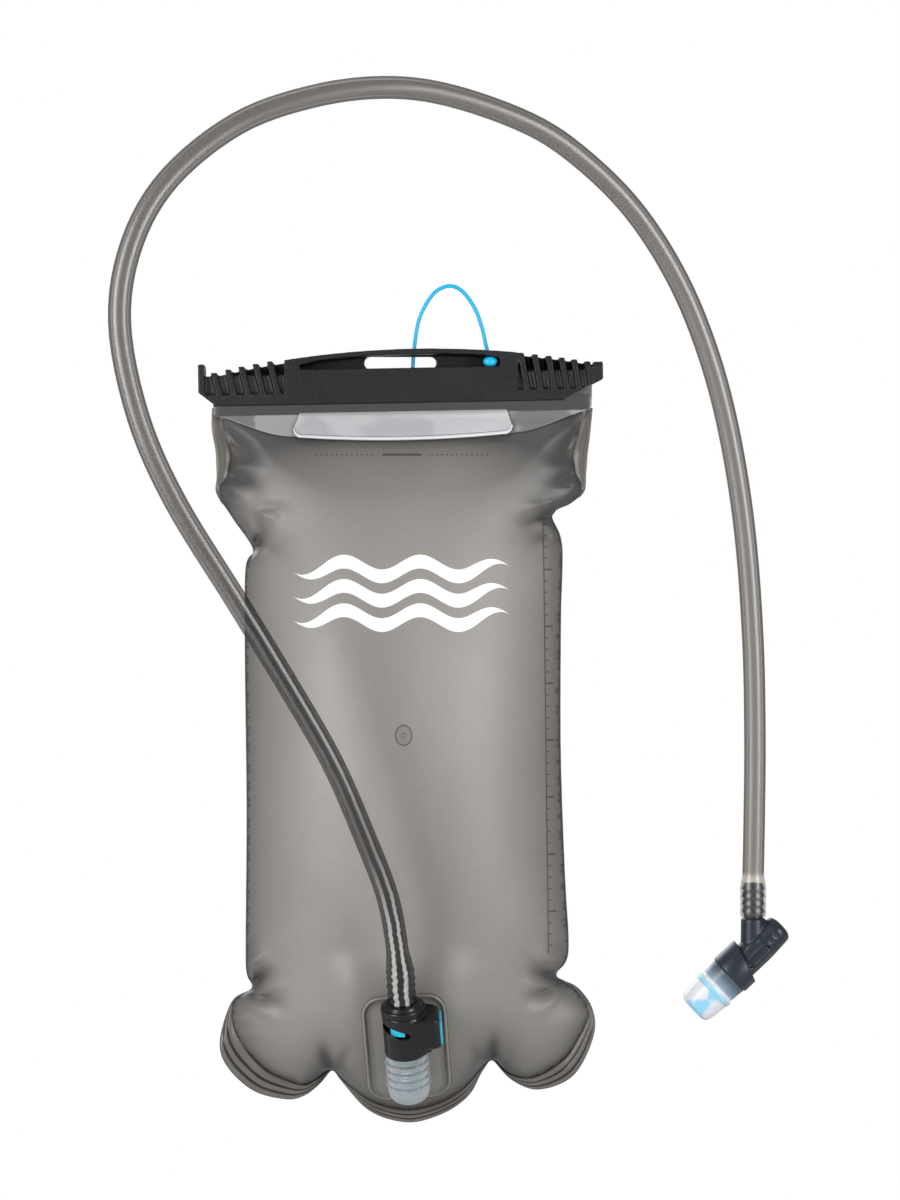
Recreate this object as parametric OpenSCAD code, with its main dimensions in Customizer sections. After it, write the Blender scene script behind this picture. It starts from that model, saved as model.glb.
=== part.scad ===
// Two litre hydration reservoir: a welded film bag with a slide-seal top, a quick-release port with an
// automatic shut-off valve, a one metre drink hose and a twist-lock bite valve.
//
// Frame: X runs across the bag, Y from the front of the bag to the wearer's back, Z up.
// The origin is the middle of the bag's flat back face. Millimetres.

/* [Reservoir] */
// Width of the bag between its straight sides
bag_w = 139; // [125:1:150]
// Depth of the filled bag, front to back
bag_depth = 48; // [40:1:56]
// Thickness of the film
film_t = 0.5; // [0.4:0.1:0.8]
// Width of the weld flange round the bag
flange_w = 7; // [5:0.5:9]

/* [Slide bar] */
// Length of the slide bar
bar_l = 178; // [170:1:186]
// Height of the middle of the slide bar
bar_h = 23; // [20:0.5:26]
// Length of the hanging slot in its rear wall
hang_slot_l = 32; // [24:1:40]
// Height of that slot
hang_slot_h = 5; // [4:0.5:5.5]

/* [Port] */
// Lean of the port out of the bag's face, in degrees
port_lean = 20; // [15:1:25]
// Outer radius of the port housing
housing_r = 9.2; // [8.8:0.1:9.6]
// Travel of the release button
button_travel = 1.3; // [1:0.1:1.6]

/* [Hose] */
// Outer diameter of the hose
hose_od = 9.5; // [9:0.1:10]
// Bore of the hose
hose_id = 6.4; // [6:0.1:6.6]

/* [Bite valve] */
// Radius of the barrel at its mouth end
barrel_r = 7.1; // [6.8:0.1:7.4]
// Outer radius of the shut-off collar
collar_r = 9.9; // [9.4:0.1:10.4]
// Radius of the soft mouthpiece's lip
lip_r = 9.4; // [9:0.1:9.8]

/* [Hidden] */
$fn = 64;
gap = 0.1;       // running clearance between solids that touch on the real object
layer = 0.01;    // overlap that makes two shapes of one moulding into one solid

// ---- Reservoir -------------------------------------------------------------------------------

top_z = 146;             // top edge of the panels, just under the slide bar
seam_y = -14;            // depth of the weld seam
neck_y = -8.1;           // depth of the seam where the panels run up into the slide bar
half_w = bag_w / 2;

// Right half of the seam, top to bottom: shoulder tip, waist, straight side, waist and three lobes
half_seam = [
    [40, top_z + 1], [74, top_z + 1], [81, top_z - 0.5], [76.5, 126], [81, 110], [half_w - 2.5, 92],
    [half_w, 78], [half_w, 20],
    [half_w, -40], [half_w, -95], [half_w - 2, -107], [78.5, -116], [77, -131], [66, -144], [52, -150.5],
    [44, -149], [36, -144], [28, -154.7], [15, -160.6]
];
seam_points = concat(
    [[0, top_z + 1]], half_seam, [[0, -164]],
    [for (i = [len(half_seam) - 1:-1:0]) [-half_seam[i].x, half_seam[i].y]]
);

// A point at share u along the Catmull-Rom curve from b to c
function curve(a, b, c, d, u) =
    0.5 * (2 * b + (c - a) * u + (2 * a - 5 * b + 4 * c - d) * u * u + (3 * b - a - 3 * c + d) * u * u * u);
// A closed list of points, rounded with n points to each side
function round_closed(p, n) = [
    for (i = [0:len(p) - 1], j = [0:n - 1])
        let (m = len(p)) curve(p[(i + m - 1) % m], p[i], p[(i + 1) % m], p[(i + 2) % m], j / n)
];
// An open list of points, rounded the same way, with its last point kept
function round_open(p, n) = concat(
    [for (i = [0:len(p) - 2], j = [0:n - 1])
        curve(p[max(i - 1, 0)], p[i], p[i + 1], p[min(i + 2, len(p) - 1)], j / n)],
    [p[len(p) - 1]]
);
function smooth(t) = let (c = min(max(t, 0), 1)) c * c * (3 - 2 * c);

seam = round_closed(seam_points, 3);
n_seam = len(seam);
// The seam with its lobes averaged away, which sets where each of its points goes on the plateau
function mean(p) = p * [for (q = p) 1 / len(p)];
soft_seam = [
    for (i = [0:n_seam - 1])
        let (near = [for (j = [-5:5]) seam[(i + j + n_seam) % n_seam]])
        [mean([for (q = near) q.x]), mean([for (q = near) q.y])]
];
plateau_z = -8;          // height of the middle of each panel's flat plateau
rings = [0, 0.06, 0.15, 0.27, 0.42, 0.6, 0.8, 1];

// Depth of the seam at height z: it comes back to the neck near the top
function seam_depth(z) = seam_y + (neck_y - seam_y) * smooth((z - 70) / 60);
// How far along the way from the seam to its plateau a panel stands out, at share g and height z.
// It stays low under the closure flap.
function rise(g, z) = pow(g, 0.6) * ((1 - g) * smooth((top_z - 8 - z) / 60) + g);
// The plateau is a squared ellipse
function plateau(p, a, b) =
    let (t = atan2(p.y - plateau_z, p.x), r = pow(pow(abs(cos(t) / a), 4) + pow(abs(sin(t) / b), 4), -0.25))
    [r * cos(t), plateau_z + r * sin(t)];

// One panel of film: rings of points from the seam to a flat plateau of half sizes a and b at depth face_y,
// as a closed sheet. way is -1 for the front panel and 1 for the back.
module panel(way, face_y, a, b, seam_shift) {
    last = len(rings) - 1;
    ring_points = [
        for (side = [0, 1], k = [0:last], i = [0:n_seam - 1])
            let (
                g = rings[k],
                p = seam[i],
                q = (1 - g) * p + g * plateau(soft_seam[i], a, b),
                start_y = seam_depth(p.y) + seam_shift,
                y = start_y + rise(g, q.y) * (face_y - start_y) - way * side * film_t
            )
            [q.x, y, q.y]
    ];
    function at(side, k, i) = (side * len(rings) + k) * n_seam + (i % n_seam);
    walls = [
        for (side = [0, 1], k = [0:last - 1], i = [0:n_seam - 1])
            let (a = at(side, k, i), b = at(side, k + 1, i), c = at(side, k + 1, i + 1), d = at(side, k, i + 1))
            each side == 0 ? [[a, b, c], [a, c, d]] : [[a, c, b], [a, d, c]]
    ];
    rim = [
        for (i = [0:n_seam - 1])
            each [[at(0, 0, i), at(0, 0, i + 1), at(1, 0, i + 1)], [at(0, 0, i), at(1, 0, i + 1), at(1, 0, i)]]
    ];
    caps = [
        [for (i = [n_seam - 1:-1:0]) at(0, last, i)],
        [for (i = [0:n_seam - 1]) at(1, last, i)]
    ];
    faces = concat(walls, rim, caps);
    polyhedron(ring_points, way > 0 ? faces : [for (f = faces) [for (i = [len(f) - 1:-1:0]) f[i]]]);
}

module front_panel() {
    color([0.47, 0.46, 0.44]) panel(-1, -bag_depth, 30, 85, 0);
}

module back_panel() {
    color([0.47, 0.46, 0.44]) panel(1, 0, 52, 112, 2 * film_t + gap);
}

// How far the flange stands out at height z: wide round the three lobes, narrow up the sides
function flange_reach(z) = 1.4 + (flange_w - 1.4) * smooth((-103 - z) / 14) + 3 * smooth(1 - abs(z - 116) / 22);

// The flange of doubled film outside the seam, open along the top
module perimeter_weld() {
    flange_t = 1;
    inset = 0.6;
    ends = 10;           // seam points left out on each side of the top's middle
    turns = [for (i = [ends:n_seam - ends]) i];
    m = len(turns);
    // outward direction, taken from the averaged seam so that the strip doesn't cross itself in a notch
    function outward(i) =
        let (d = soft_seam[(i + 2) % n_seam] - soft_seam[(i - 2 + n_seam) % n_seam])
        [-d.y, d.x] / norm(d);
    function edge(i, reach, back) =
        let (p = seam[i] + reach * outward(i))
        [p.x, seam_depth(seam[i].y) + film_t / 2 + back, p.y];
    sections = [
        for (i = turns)
            each [
                edge(i, -inset, -flange_t / 2), edge(i, flange_reach(seam[i].y), -flange_t / 2),
                edge(i, flange_reach(seam[i].y), flange_t / 2), edge(i, -inset, flange_t / 2)
            ]
    ];
    sides = [
        for (k = [0:m - 2], c = [0:3])
            each [
                [4 * k + c, 4 * k + 4 + c, 4 * k + 4 + (c + 1) % 4],
                [4 * k + c, 4 * k + 4 + (c + 1) % 4, 4 * k + (c + 1) % 4]
            ]
    ];
    caps = [[0, 1, 2, 3], [4 * m - 1, 4 * m - 2, 4 * m - 3, 4 * m - 4]];
    color([0.36, 0.35, 0.33]) polyhedron(sections, concat(sides, caps));
}

// Round spot where the front film is welded to the baffle behind it
module centre_weld_disc() {
    color([0.40, 0.40, 0.38])
        translate([1, -bag_depth - 0.5, 3.5]) rotate([-90, 0, 0]) cylinder(r = 4, h = 0.5);
}

// ---- Slide-seal top --------------------------------------------------------------------------

rail_y = -8.8;           // centre line of the bead rail and of the bar's channel
rail_z = 156.8;
rail_r = 2.3;
rail_l = bar_l - 10;
fold_r = rail_r + gap + film_t;
fold_low = top_z + 1.6;   // lower end of the fold's rear leg, just above the panels
channel_r = fold_r + 0.3;
throat = 1.75;           // half width of the channel's throat
flap_y = -13.5;          // front of the closure flap
flap_top = 150;
flap_low = 131.5;
flap_curve_r = 434;      // radius of the flap's lower edge

// A section drawn in Y and Z, run along X and centred on it
module along_x(length) {
    translate([-length / 2, 0, 0]) rotate([90, 0, 90]) linear_extrude(length) children();
}

// A shape drawn in X and Z, run from y_front towards the back by depth
module facing_front(y_front, depth) {
    translate([0, y_front + depth, 0]) rotate([90, 0, 0]) linear_extrude(depth) children();
}

module rounded_square(w, h, r) {
    square([w - 2 * r, h], center = true);
    square([w, h - 2 * r], center = true);
    for (x = [-1, 1], y = [-1, 1]) translate([x * (w / 2 - r), y * (h / 2 - r)]) circle(r);
}

module top_rail() {
    color([0.10, 0.10, 0.11]) along_x(rail_l - 2) translate([rail_y, rail_z]) circle(rail_r);
}

// The film goes up behind the rail, over it and down in front
module top_fold() {
    neck = 1;            // half width inside the two legs, under the rail
    color([0.50, 0.50, 0.49])
        along_x(rail_l)
            translate([rail_y, rail_z]) {
                difference() {
                    circle(fold_r);
                    circle(rail_r + gap);
                    translate([-neck, -2 * fold_r]) square([2 * neck, 2 * fold_r]);
                }
                translate([neck, fold_low - rail_z]) square([film_t, rail_z - fold_low - rail_r]);
                translate([-neck - film_t, flap_top + gap - rail_z])
                    square([film_t, rail_z - flap_top - gap - rail_r]);
            }
}

// The part of the film that hangs down in front once the top is folded over
module closure_flap() {
    color([0.55, 0.55, 0.54])
        intersection() {
            along_x(rail_l) {
                translate([flap_y, flap_top - film_t]) square([rail_y - 1 - flap_y, film_t]);
                translate([flap_y, flap_low - film_t]) square([film_t, flap_top - flap_low + film_t]);
            }
            facing_front(flap_y - 1, 10) translate([0, flap_low + flap_curve_r]) circle(flap_curve_r, $fn = 256);
        }
}

// Dark strip that keeps the fold straight, seen through the flap
module flap_stiffener() {
    color([0.10, 0.10, 0.11])
        facing_front(flap_y + film_t + gap, 1.4)
            translate([0, flap_top - film_t - 1.9]) square([rail_l - 4, 3.2], center = true);
}

// Pale stiff tab on the flap, held while the top is folded over
module pull_tab() {
    tab_w = 97;
    tab_h = 17;
    color([0.80, 0.80, 0.81])
        intersection() {
            facing_front(flap_y - gap - 0.8, 0.8)
                translate([0.4, flap_top - 3.4 - tab_h / 2]) rounded_square(tab_w, tab_h, 3);
            facing_front(flap_y - 3, 6) translate([0, flap_low - 0.6 + flap_curve_r]) circle(flap_curve_r, $fn = 256);
        }
}

bar_z = 150.6;           // underside of the bar
bar_front = -15;
bar_wall = 2.1;
bar_back = -3.4;
arch_r = 422;            // radius of the bar's arched top
arch_top = bar_z + bar_h - 1;
core_h = 11.4;
grip_x = 50.2;           // where the ribbed grips begin, out from the middle
rib_w = 2.3;
rib_pitch = [6.65, 6.2]; // left and right
n_ribs = [5, 6];
bead_x = 39.2;
bead_z = 166.7;
slot_z = 164.4;          // lower edge of the front slot

// Everything of the bar's front outline below its arch, raised by lift
module under_arch(lift) {
    intersection() {
        translate([0, arch_top + lift - arch_r]) circle(arch_r, $fn = 256);
        translate([-bar_l / 2, bar_z]) square([bar_l, 2 * bar_h]);
    }
}

// The channel that slides along the folded film
module bar_core() {
    difference() {
        along_x(bar_l)
            translate([bar_front + bar_wall - layer, bar_z])
                square([bar_back - bar_front - bar_wall + 2 * layer, core_h]);
        translate([3, 0, 0])
            along_x(bar_l)
                translate([rail_y, rail_z]) {
                    circle(channel_r);
                    translate([-throat, -2 * channel_r]) square([2 * throat, 2 * channel_r]);
                }
    }
}

// Front wall over the middle, with its long slot and the pocket for the tether's bead
module bar_front_wall() {
    slot_half = 44;
    facing_front(bar_front, bar_wall)
        difference() {
            intersection() {
                under_arch(0);
                translate([-grip_x, bar_z]) square([2 * grip_x, 2 * bar_h]);
            }
            intersection() {
                translate([0, arch_top - 2.2 - arch_r]) circle(arch_r, $fn = 256);
                translate([-slot_half, slot_z]) square([2 * slot_half, bar_h]);
            }
            translate([bead_x, bead_z]) circle(3.2);
        }
}

// Base strip and hooped ribs of one grip; side is -1 on the left and 1 on the right
module bar_grip(side) {
    pitch = rib_pitch[side < 0 ? 0 : 1];
    count = n_ribs[side < 0 ? 0 : 1];
    facing_front(bar_front, bar_wall)
        intersection() {
            translate([side < 0 ? -bar_l / 2 : grip_x - layer, bar_z]) square([bar_l / 2 - grip_x + layer, 3]);
            under_arch(0);
        }
    for (i = [1:count])
        let (
            x = grip_x + (i - 0.25) * pitch,
            rib_top = arch_top - arch_r + sqrt(arch_r * arch_r - x * x) + 0.4
        )
        translate([side * x, 0, 0]) {
            facing_front(bar_front, bar_wall)
                translate([-rib_w / 2, bar_z + layer]) square([rib_w, rib_top - bar_z - 1 - layer]);
            translate([0, bar_front + bar_wall, rib_top - 1 - layer])
                intersection() {
                    union() {
                        rotate([0, 90, 0]) cylinder(r = bar_wall, h = rib_w, center = true);
                        translate([-rib_w / 2, 0, 0.3]) cube([rib_w, bar_back - bar_front - bar_wall, 1.7]);
                    }
                    translate([-rib_w, -bar_wall, 0]) cube([2 * rib_w, 20, 2]);
                }
        }
}

module slide_bar() {
    slot_r = hang_slot_h / 2;
    color([0.11, 0.115, 0.12])
        difference() {
            union() {
                bar_core();
                bar_front_wall();
                bar_grip(-1);
                bar_grip(1);
                // rear wall, full length
                facing_front(bar_back - bar_wall, bar_wall) under_arch(-0.6);
                // roof over the middle
                facing_front(bar_front + bar_wall - layer, bar_back - bar_front - bar_wall + layer)
                    intersection() {
                        difference() {
                            under_arch(0);
                            translate([0, arch_top - 2 - arch_r]) circle(arch_r, $fn = 256);
                        }
                        translate([-grip_x, bar_z]) square([2 * grip_x, 2 * bar_h]);
                    }
                // end stop on the left
                facing_front(bar_front - 0.6, bar_back - bar_front + 0.6)
                    translate([-bar_l / 2 + 1.2, bar_z + 8]) rounded_square(2.4, 16, 1.1);
            }
            // hanging slot through the rear wall
            translate([-1, bar_back + 1, slot_z + 0.3 + slot_r]) rotate([90, 0, 0])
                linear_extrude(bar_wall + 2) rounded_square(hang_slot_l, hang_slot_h, slot_r - layer);
            // hole for the tether
            translate([bead_x, bar_back + 1, bead_z]) rotate([90, 0, 0]) cylinder(r = 1.3, h = bar_wall + 2);
            // rounded lower corner on the right
            facing_front(bar_front - 1, bar_wall + 1)
                translate([bar_l / 2 - 8, bar_z + 8])
                    difference() {
                        translate([0, -9]) square([9, 9]);
                        circle(8);
                    }
        }
}

// A ring of n points of radius r round p, square to direction t
function ring(p, t, up, r, n) =
    let (side = cross(t, up), u = side / norm(side), v = cross(u, t))
    [for (i = [0:n - 1]) p + r * (cos(360 * i / n) * u + sin(360 * i / n) * v)];
function along(path, i) =
    let (d = path[min(i + 1, len(path) - 1)] - path[max(i - 1, 0)]) d / norm(d);

// A round rod swept along a path, or a tube if inner holds radii as well
module sweep(path, outer, inner, up, sides) {
    n = len(path);
    hollow = len(inner) > 0;
    points = concat(
        [for (i = [0:n - 1]) each ring(path[i], along(path, i), up, outer[i], sides)],
        hollow ? [for (i = [0:n - 1]) each ring(path[i], along(path, i), up, inner[i], sides)] : []
    );
    function at(s, i, j) = (s * n + i) * sides + j % sides;
    function wall(s, flip) = [
        for (i = [0:n - 2], j = [0:sides - 1])
            flip
                ? [at(s, i, j), at(s, i, j + 1), at(s, i + 1, j + 1), at(s, i + 1, j)]
                : [at(s, i, j), at(s, i + 1, j), at(s, i + 1, j + 1), at(s, i, j + 1)]
    ];
    function lip(i, flip) = [
        for (j = [0:sides - 1])
            flip
                ? [at(0, i, j), at(0, i, j + 1), at(1, i, j + 1), at(1, i, j)]
                : [at(0, i, j), at(1, i, j), at(1, i, j + 1), at(0, i, j + 1)]
    ];
    faces = hollow
        ? concat(wall(0, true), wall(1, false), lip(0, false), lip(n - 1, true))
        : concat(
            wall(0, true),
            [[for (j = [sides - 1:-1:0]) at(0, 0, j)]],
            [[for (j = [0:sides - 1]) at(0, n - 1, j)]]
        );
    polyhedron(points, faces);
}

// Looped cord that keeps the bar with the bag
module tether_cord() {
    cord_r = 0.9;
    path = round_open([
        [bead_x, -7.1, bead_z], [bead_x, -5.4, bead_z], [39.15, -3.8, 166.75], [38.95, -2.4, 167.8],
        [38.5, -1.8, 170],
        [37.2, -1.8, 175], [35.4, -1.9, 183], [32, -2.2, 192], [26.4, -2.6, 199.4], [20.7, -2.8, 201.6],
        [14.5, -2.6, 198.9], [9.6, -2.2, 192], [6.6, -1.9, 184], [4.8, -1.9, 170], [4.4, -1.9, 158], [4.4, -2, 149.8]
    ], 4);
    color([0.05, 0.62, 0.85]) sweep(path, [for (p = path) cord_r], [], [0.6, 0.6, 0.5], 12);
}

// Moulded bead on the tether's end, in its pocket in the bar
tether_bead_r = 2;
module tether_bead() {
    color([0.05, 0.60, 0.84])
        difference() {
            translate([bead_x, -8.6, bead_z]) rotate([-90, 0, 0]) {
                cylinder(r = tether_bead_r, h = 2.4);
                sphere(tether_bead_r);
            }
            translate([bead_x, -7.2, bead_z]) rotate([-90, 0, 0]) cylinder(r = 1, h = 3);
        }
}

// Rivet that holds the tether's other end to the neck of the bag
module tether_anchor() {
    color([0.05, 0.60, 0.84])
        translate([4.4, -1.2, 147.6]) rotate([90, 0, 0]) {
            cylinder(r = 2, h = 1.6);
            cylinder(r = 1, h = 5.5);
        }
}

// ---- Quick-release port ----------------------------------------------------------------------
// Its own frame: the origin is the middle of the plug's collar face, Z runs up the hose, X to the
// right and Y into the bag.

port_at = [1, -52, -115];
port_turn = -4;
patch_y = 9.6;           // front face of the weld patch
bore_r = 5.06;           // receiver's bore, a running fit on the plug's nose
nose_r = 5;
latch_z = -4.7;          // underside of the latch plate
latch_t = 1.4;
window_z = -28.5;

module at_port() {
    translate(port_at) rotate([port_lean, port_turn, 0]) children();
}

// Oval weld patch on the front panel, with a raised rim and the hole into the bag
module port_patch() {
    color([0.62, 0.61, 0.58])
        at_port()
            translate([0, patch_y, -18]) rotate([-90, 0, 0])
                difference() {
                    union() {
                        linear_extrude(1.2) rounded_square(37.6, 52, 9);
                        linear_extrude(1.8)
                            difference() {
                                rounded_square(37.6, 52, 9);
                                rounded_square(34.4, 48.8, 7.4);
                            }
                    }
                    translate([0, -window_z - 18, -1]) cylinder(r = 4, h = 5);
                }
}

// Black body that joins the plug to the receiver and guides the latch
module connector_housing() {
    ear_x = 15.5;
    color([0.09, 0.09, 0.10])
        at_port()
            difference() {
                union() {
                    translate([0, 0, -17]) cylinder(r = housing_r, h = 17);
                    translate([0, 0, -12])
                        linear_extrude(11.5) {
                            translate([0, -8]) square([ear_x, 11]);
                            translate([0, -8]) square([ear_x - 6, 17]);
                            translate([ear_x - 6, 3]) circle(6);
                        }
                }
                // bore for the plug, wider below for the receiver's spigot
                translate([0, 0, -18]) cylinder(r = 6.2, h = 19);
                translate([0, 0, -18]) cylinder(r = 7.1, h = 6.5);
                // slot for the latch plate, open on the left
                translate([-12, -6.8, latch_z - 0.2]) cube([12 + ear_x - 1, 13.6, latch_t + 0.4]);
                // pocket for the button
                translate([ear_x - 2.3, -6.2, -11.4]) cube([4, 12.4, 10.2]);
                // blind bore for the latch spring
                translate([8.6, 0, -9]) rotate([0, 90, 0]) cylinder(r = 1.7, h = 8);
            }
}

// Blue latch plate with its button, pressed in from the right
module release_latch() {
    plate_r = 8.7;
    color([0.03, 0.42, 0.78])
        at_port()
            union() {
                difference() {
                    translate([0, 0, latch_z])
                        linear_extrude(latch_t)
                            intersection() {
                                union() {
                                    circle(plate_r);
                                    translate([0, -6.6]) square([14.2, 13.2]);
                                    translate([14, -6]) square([1.1, 12]);
                                }
                                translate([-10, -6.6]) square([26, 13.2]);
                            }
                    // the plug's nose passes through here, with room for the latch's travel
                    translate([0, 0, latch_z - 1])
                        linear_extrude(latch_t + 2) {
                            circle(5.2);
                            translate([0, -5.2]) square([button_travel, 10.4]);
                            translate([button_travel, 0]) circle(5.2);
                        }
                }
                translate([15, -6, -11.2]) cube([1.4, 12, 9.8]);
            }
}

// A coil of round wire along Z
module coil(r, wire_r, height, turns) {
    steps = turns * 12;
    path = [for (i = [0:steps]) [r * cos(30 * i), r * sin(30 * i), wire_r + (height - 2 * wire_r) * i / steps]];
    sweep(path, [for (p = path) wire_r], [], [0, 0, 1], 6);
}

module latch_spring() {
    color([0.70, 0.71, 0.72])
        at_port() translate([8.7, 0, -9]) rotate([0, 90, 0]) coil(1.2, 0.3, 6.1, 5);
}

// Clear receiver welded to the patch, with the automatic shut-off valve inside
module port_receiver() {
    spigot_r = 6.95;
    body_r = 8.8;
    color([0.86, 0.86, 0.84])
        at_port()
            difference() {
                union() {
                    rotate_extrude() {
                        polygon([
                            [0, -12.2], [spigot_r, -12.2], [spigot_r, -17.1], [body_r, -17.1],
                            [body_r, -35], [8, -37.6], [6, -39.6], [3.4, -40.7], [0, -41]
                        ]);
                        for (z = [-24.2, -28.3, -32.9]) translate([body_r - 0.2, z]) circle(0.9);
                    }
                    translate([-6, 0, -35]) cube([12, patch_y - 0.05, 17.8]);
                }
                translate([0, 0, -21]) cylinder(r = bore_r, h = 10);
                translate([0, 0, -33]) cylinder(r = 7.2, h = 12.5);
                translate([0, 0, window_z]) rotate([-90, 0, 0]) cylinder(r = 4, h = 12);
            }
}

// Poppet that shuts the port when the plug is pulled out
module shutoff_poppet() {
    color([0.80, 0.81, 0.80])
        at_port() {
            difference() {
                union() {
                    translate([0, 0, -25.2]) cylinder(r = 6.2, h = 1.6);
                    translate([0, 0, -25.2]) cylinder(r = 2.5, h = 5);
                }
                // cross slots let the water past the stem
                translate([-3, -0.6, -22]) cube([6, 1.2, 3]);
                translate([-0.6, -3, -22]) cube([1.2, 6, 3]);
            }
        }
}

module poppet_gasket() {
    color([0.13, 0.13, 0.14])
        at_port()
            translate([0, 0, -23.55])
                rotate_extrude() translate([4.6, 0]) square([1.4, 0.8]);
}

module poppet_spring() {
    color([0.72, 0.73, 0.74]) at_port() translate([0, 0, -32.95]) coil(4.6, 0.4, 7.7, 4);
}

// Plug on the hose's lower end: nose with two grooves, collar and barbed stem
module plug_body() {
    color([0.10, 0.10, 0.11])
        at_port()
            rotate_extrude()
                polygon([
                    [2.2, -20], [nose_r - 0.6, -20], [nose_r, -19.3], [nose_r, -16], [3.5, -16], [3.5, -14.4],
                    [nose_r, -14.4], [nose_r, latch_z - 0.4], [3.9, latch_z - 0.4], [3.9, latch_z + latch_t + 0.4],
                    [nose_r, latch_z + latch_t + 0.4], [nose_r, 0.15], [9.4, 0.15], [9.6, 0.5], [9.6, 2.8],
                    [9.2, 3.2], [8.2, 3.3], [7.8, 4.6], [6.4, 5],
                    [3.1, 5], [3.1, 8], [4.1, 9], [3.1, 11.5], [4.1, 12.5],
                    [3.1, 15], [4.1, 16], [3.1, 18.5], [4.1, 19.5], [3.2, 22], [2.2, 22]
                ]);
}

module plug_o_ring() {
    color([0.14, 0.14, 0.15])
        at_port() translate([0, 0, -15.2]) rotate_extrude() translate([4.28, 0]) circle(0.72);
}

// ---- Hose ------------------------------------------------------------------------------------

valve_at = [154.9, -16, -94];
hose_end_z = -78.1;      // lower end of the hose, at the bite valve
hose_stretch = 1.15;     // how far the hose opens over a barbed stem
// Point at height z of the port's own axis
function up_port(z) =
    port_at + z * [cos(port_lean) * sin(port_turn), -sin(port_lean), cos(port_lean) * cos(port_turn)];
hose_path = round_open([
    up_port(5.2), up_port(12), up_port(22), [-4.9, -70, -65.3], [-15.9, -78, -35.1], [-28.6, -85, -5.3],
    [-47, -92, 27.5], [-67.4, -98, 61.6], [-92, -105, 102.3], [-106.8, -109, 137], [-114.1, -111, 175.4],
    [-109.1, -110, 207.8], [-94, -107, 234.9], [-66.9, -102, 257.8], [-36.8, -97, 269.8], [-6.8, -90, 275],
    [21.1, -81, 273.2], [55, -69, 263.1], [78.1, -60, 249.2], [100.6, -51, 228.2], [119.7, -43, 199.9],
    [133.6, -37, 167.6], [143.3, -31, 132.7], [150.3, -26, 90.9], [154.2, -22, 43.6], [155.4, -19, -0.5],
    [155.2, -17, -39.8], [valve_at.x, valve_at.y, -60], [valve_at.x, valve_at.y, -70],
    [valve_at.x, valve_at.y, hose_end_z]
], 3);
// How much of the stretch over a barbed stem is left at point i, where the stem is long_a or long_b
function stretch(i, long_a, long_b) =
    max(
        1 - smooth((norm(hose_path[i] - hose_path[0]) - long_a) / 6),
        1 - smooth((norm(hose_path[i] - hose_path[len(hose_path) - 1]) - long_b) / 5)
    );

module drink_hose() {
    stretched = [for (i = [0:len(hose_path) - 1]) stretch(i, 16, 14)];
    color([0.36, 0.37, 0.39])
        sweep(
            hose_path,
            [for (s = stretched) hose_od / 2 + hose_stretch * s],
            [for (s = stretched) hose_id / 2 + hose_stretch * s],
            [0.05, -1, 0.1],
            20
        );
}

// ---- Bite valve ------------------------------------------------------------------------------
// Its own frame: the origin is where the branch meets the barrel, Z runs out through the mouthpiece.

valve_turn = -133.6;
spool_r = 4.94;
recess_z = -4.8;         // middle of the oval recess on the barrel's side
barb_r = hose_id / 2 + 1.05;

module at_valve() {
    translate(valve_at) rotate([0, valve_turn, 0]) children();
}

// Barrel with its branch and the barbed stem up into the hose
module valve_body() {
    color([0.11, 0.12, 0.14])
        difference() {
            union() {
                at_valve()
                    rotate_extrude()
                        polygon([
                            [0, -15], [barrel_r - 0.8, -15], [barrel_r - 0.6, -12], [barrel_r, -4],
                            [barrel_r, 12.8], [0, 12.8]
                        ]);
                translate(valve_at) cylinder(r = 5.4, h = 14.6);
                translate(valve_at)
                    rotate_extrude()
                        polygon([
                            [0, 14], [5.4, 14], [5.1, 15.6], [3.2, 15.8], [3.2, 17.6], [barb_r, 18.4], [3.2, 21],
                            [barb_r, 21.8], [3.2, 24.4], [barb_r, 25.2], [3.2, 27.8], [barb_r, 28.6],
                            [3.1, 30.8], [0, 30.8]
                        ]);
                // raised rim of the oval recess on the barrel's side
                at_valve() translate([0, -barrel_r + 0.6, recess_z]) rotate([90, 0, 0])
                    linear_extrude(1) rounded_square(7, 15, 3.4);
            }
            at_valve() translate([0, 0, -16]) cylinder(r = spool_r + 0.08, h = 30);
            translate(valve_at) cylinder(r = 2.3, h = 32);
            at_valve() translate([0, -barrel_r + 0.2, recess_z]) rotate([90, 0, 0])
                linear_extrude(2) rounded_square(5, 13, 2.4);
        }
}

// Domed cap that closes the barrel's far end
module valve_end_cap() {
    color([0.10, 0.11, 0.13])
        at_valve()
            rotate_extrude()
                polygon([
                    [0, -17.4], [3.6, -17.1], [5.4, -16.4], [barrel_r - 0.8, -15.1],
                    [4.95, -15.1], [4.95, -13], [0, -13]
                ]);
}

// Twist collar, cut at a slant where it meets the barrel
module shutoff_collar() {
    color([0.10, 0.105, 0.12])
        at_valve()
            difference() {
                union() {
                    translate([0, 0, 3]) cylinder(r = collar_r, h = 10.6);
                    translate([0, 0, 13.6 - layer]) cylinder(r1 = collar_r, r2 = collar_r - 1, h = 1);
                }
                translate([0, 0, 2]) cylinder(r = barrel_r + 0.07, h = 10.9);
                translate([0, 0, 2]) cylinder(r = 3, h = 14);
                translate([collar_r, 0, 3]) rotate([0, 13.3, 0]) translate([-30, -15, -20]) cube([30.01, 30, 20]);
            }
}

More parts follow.
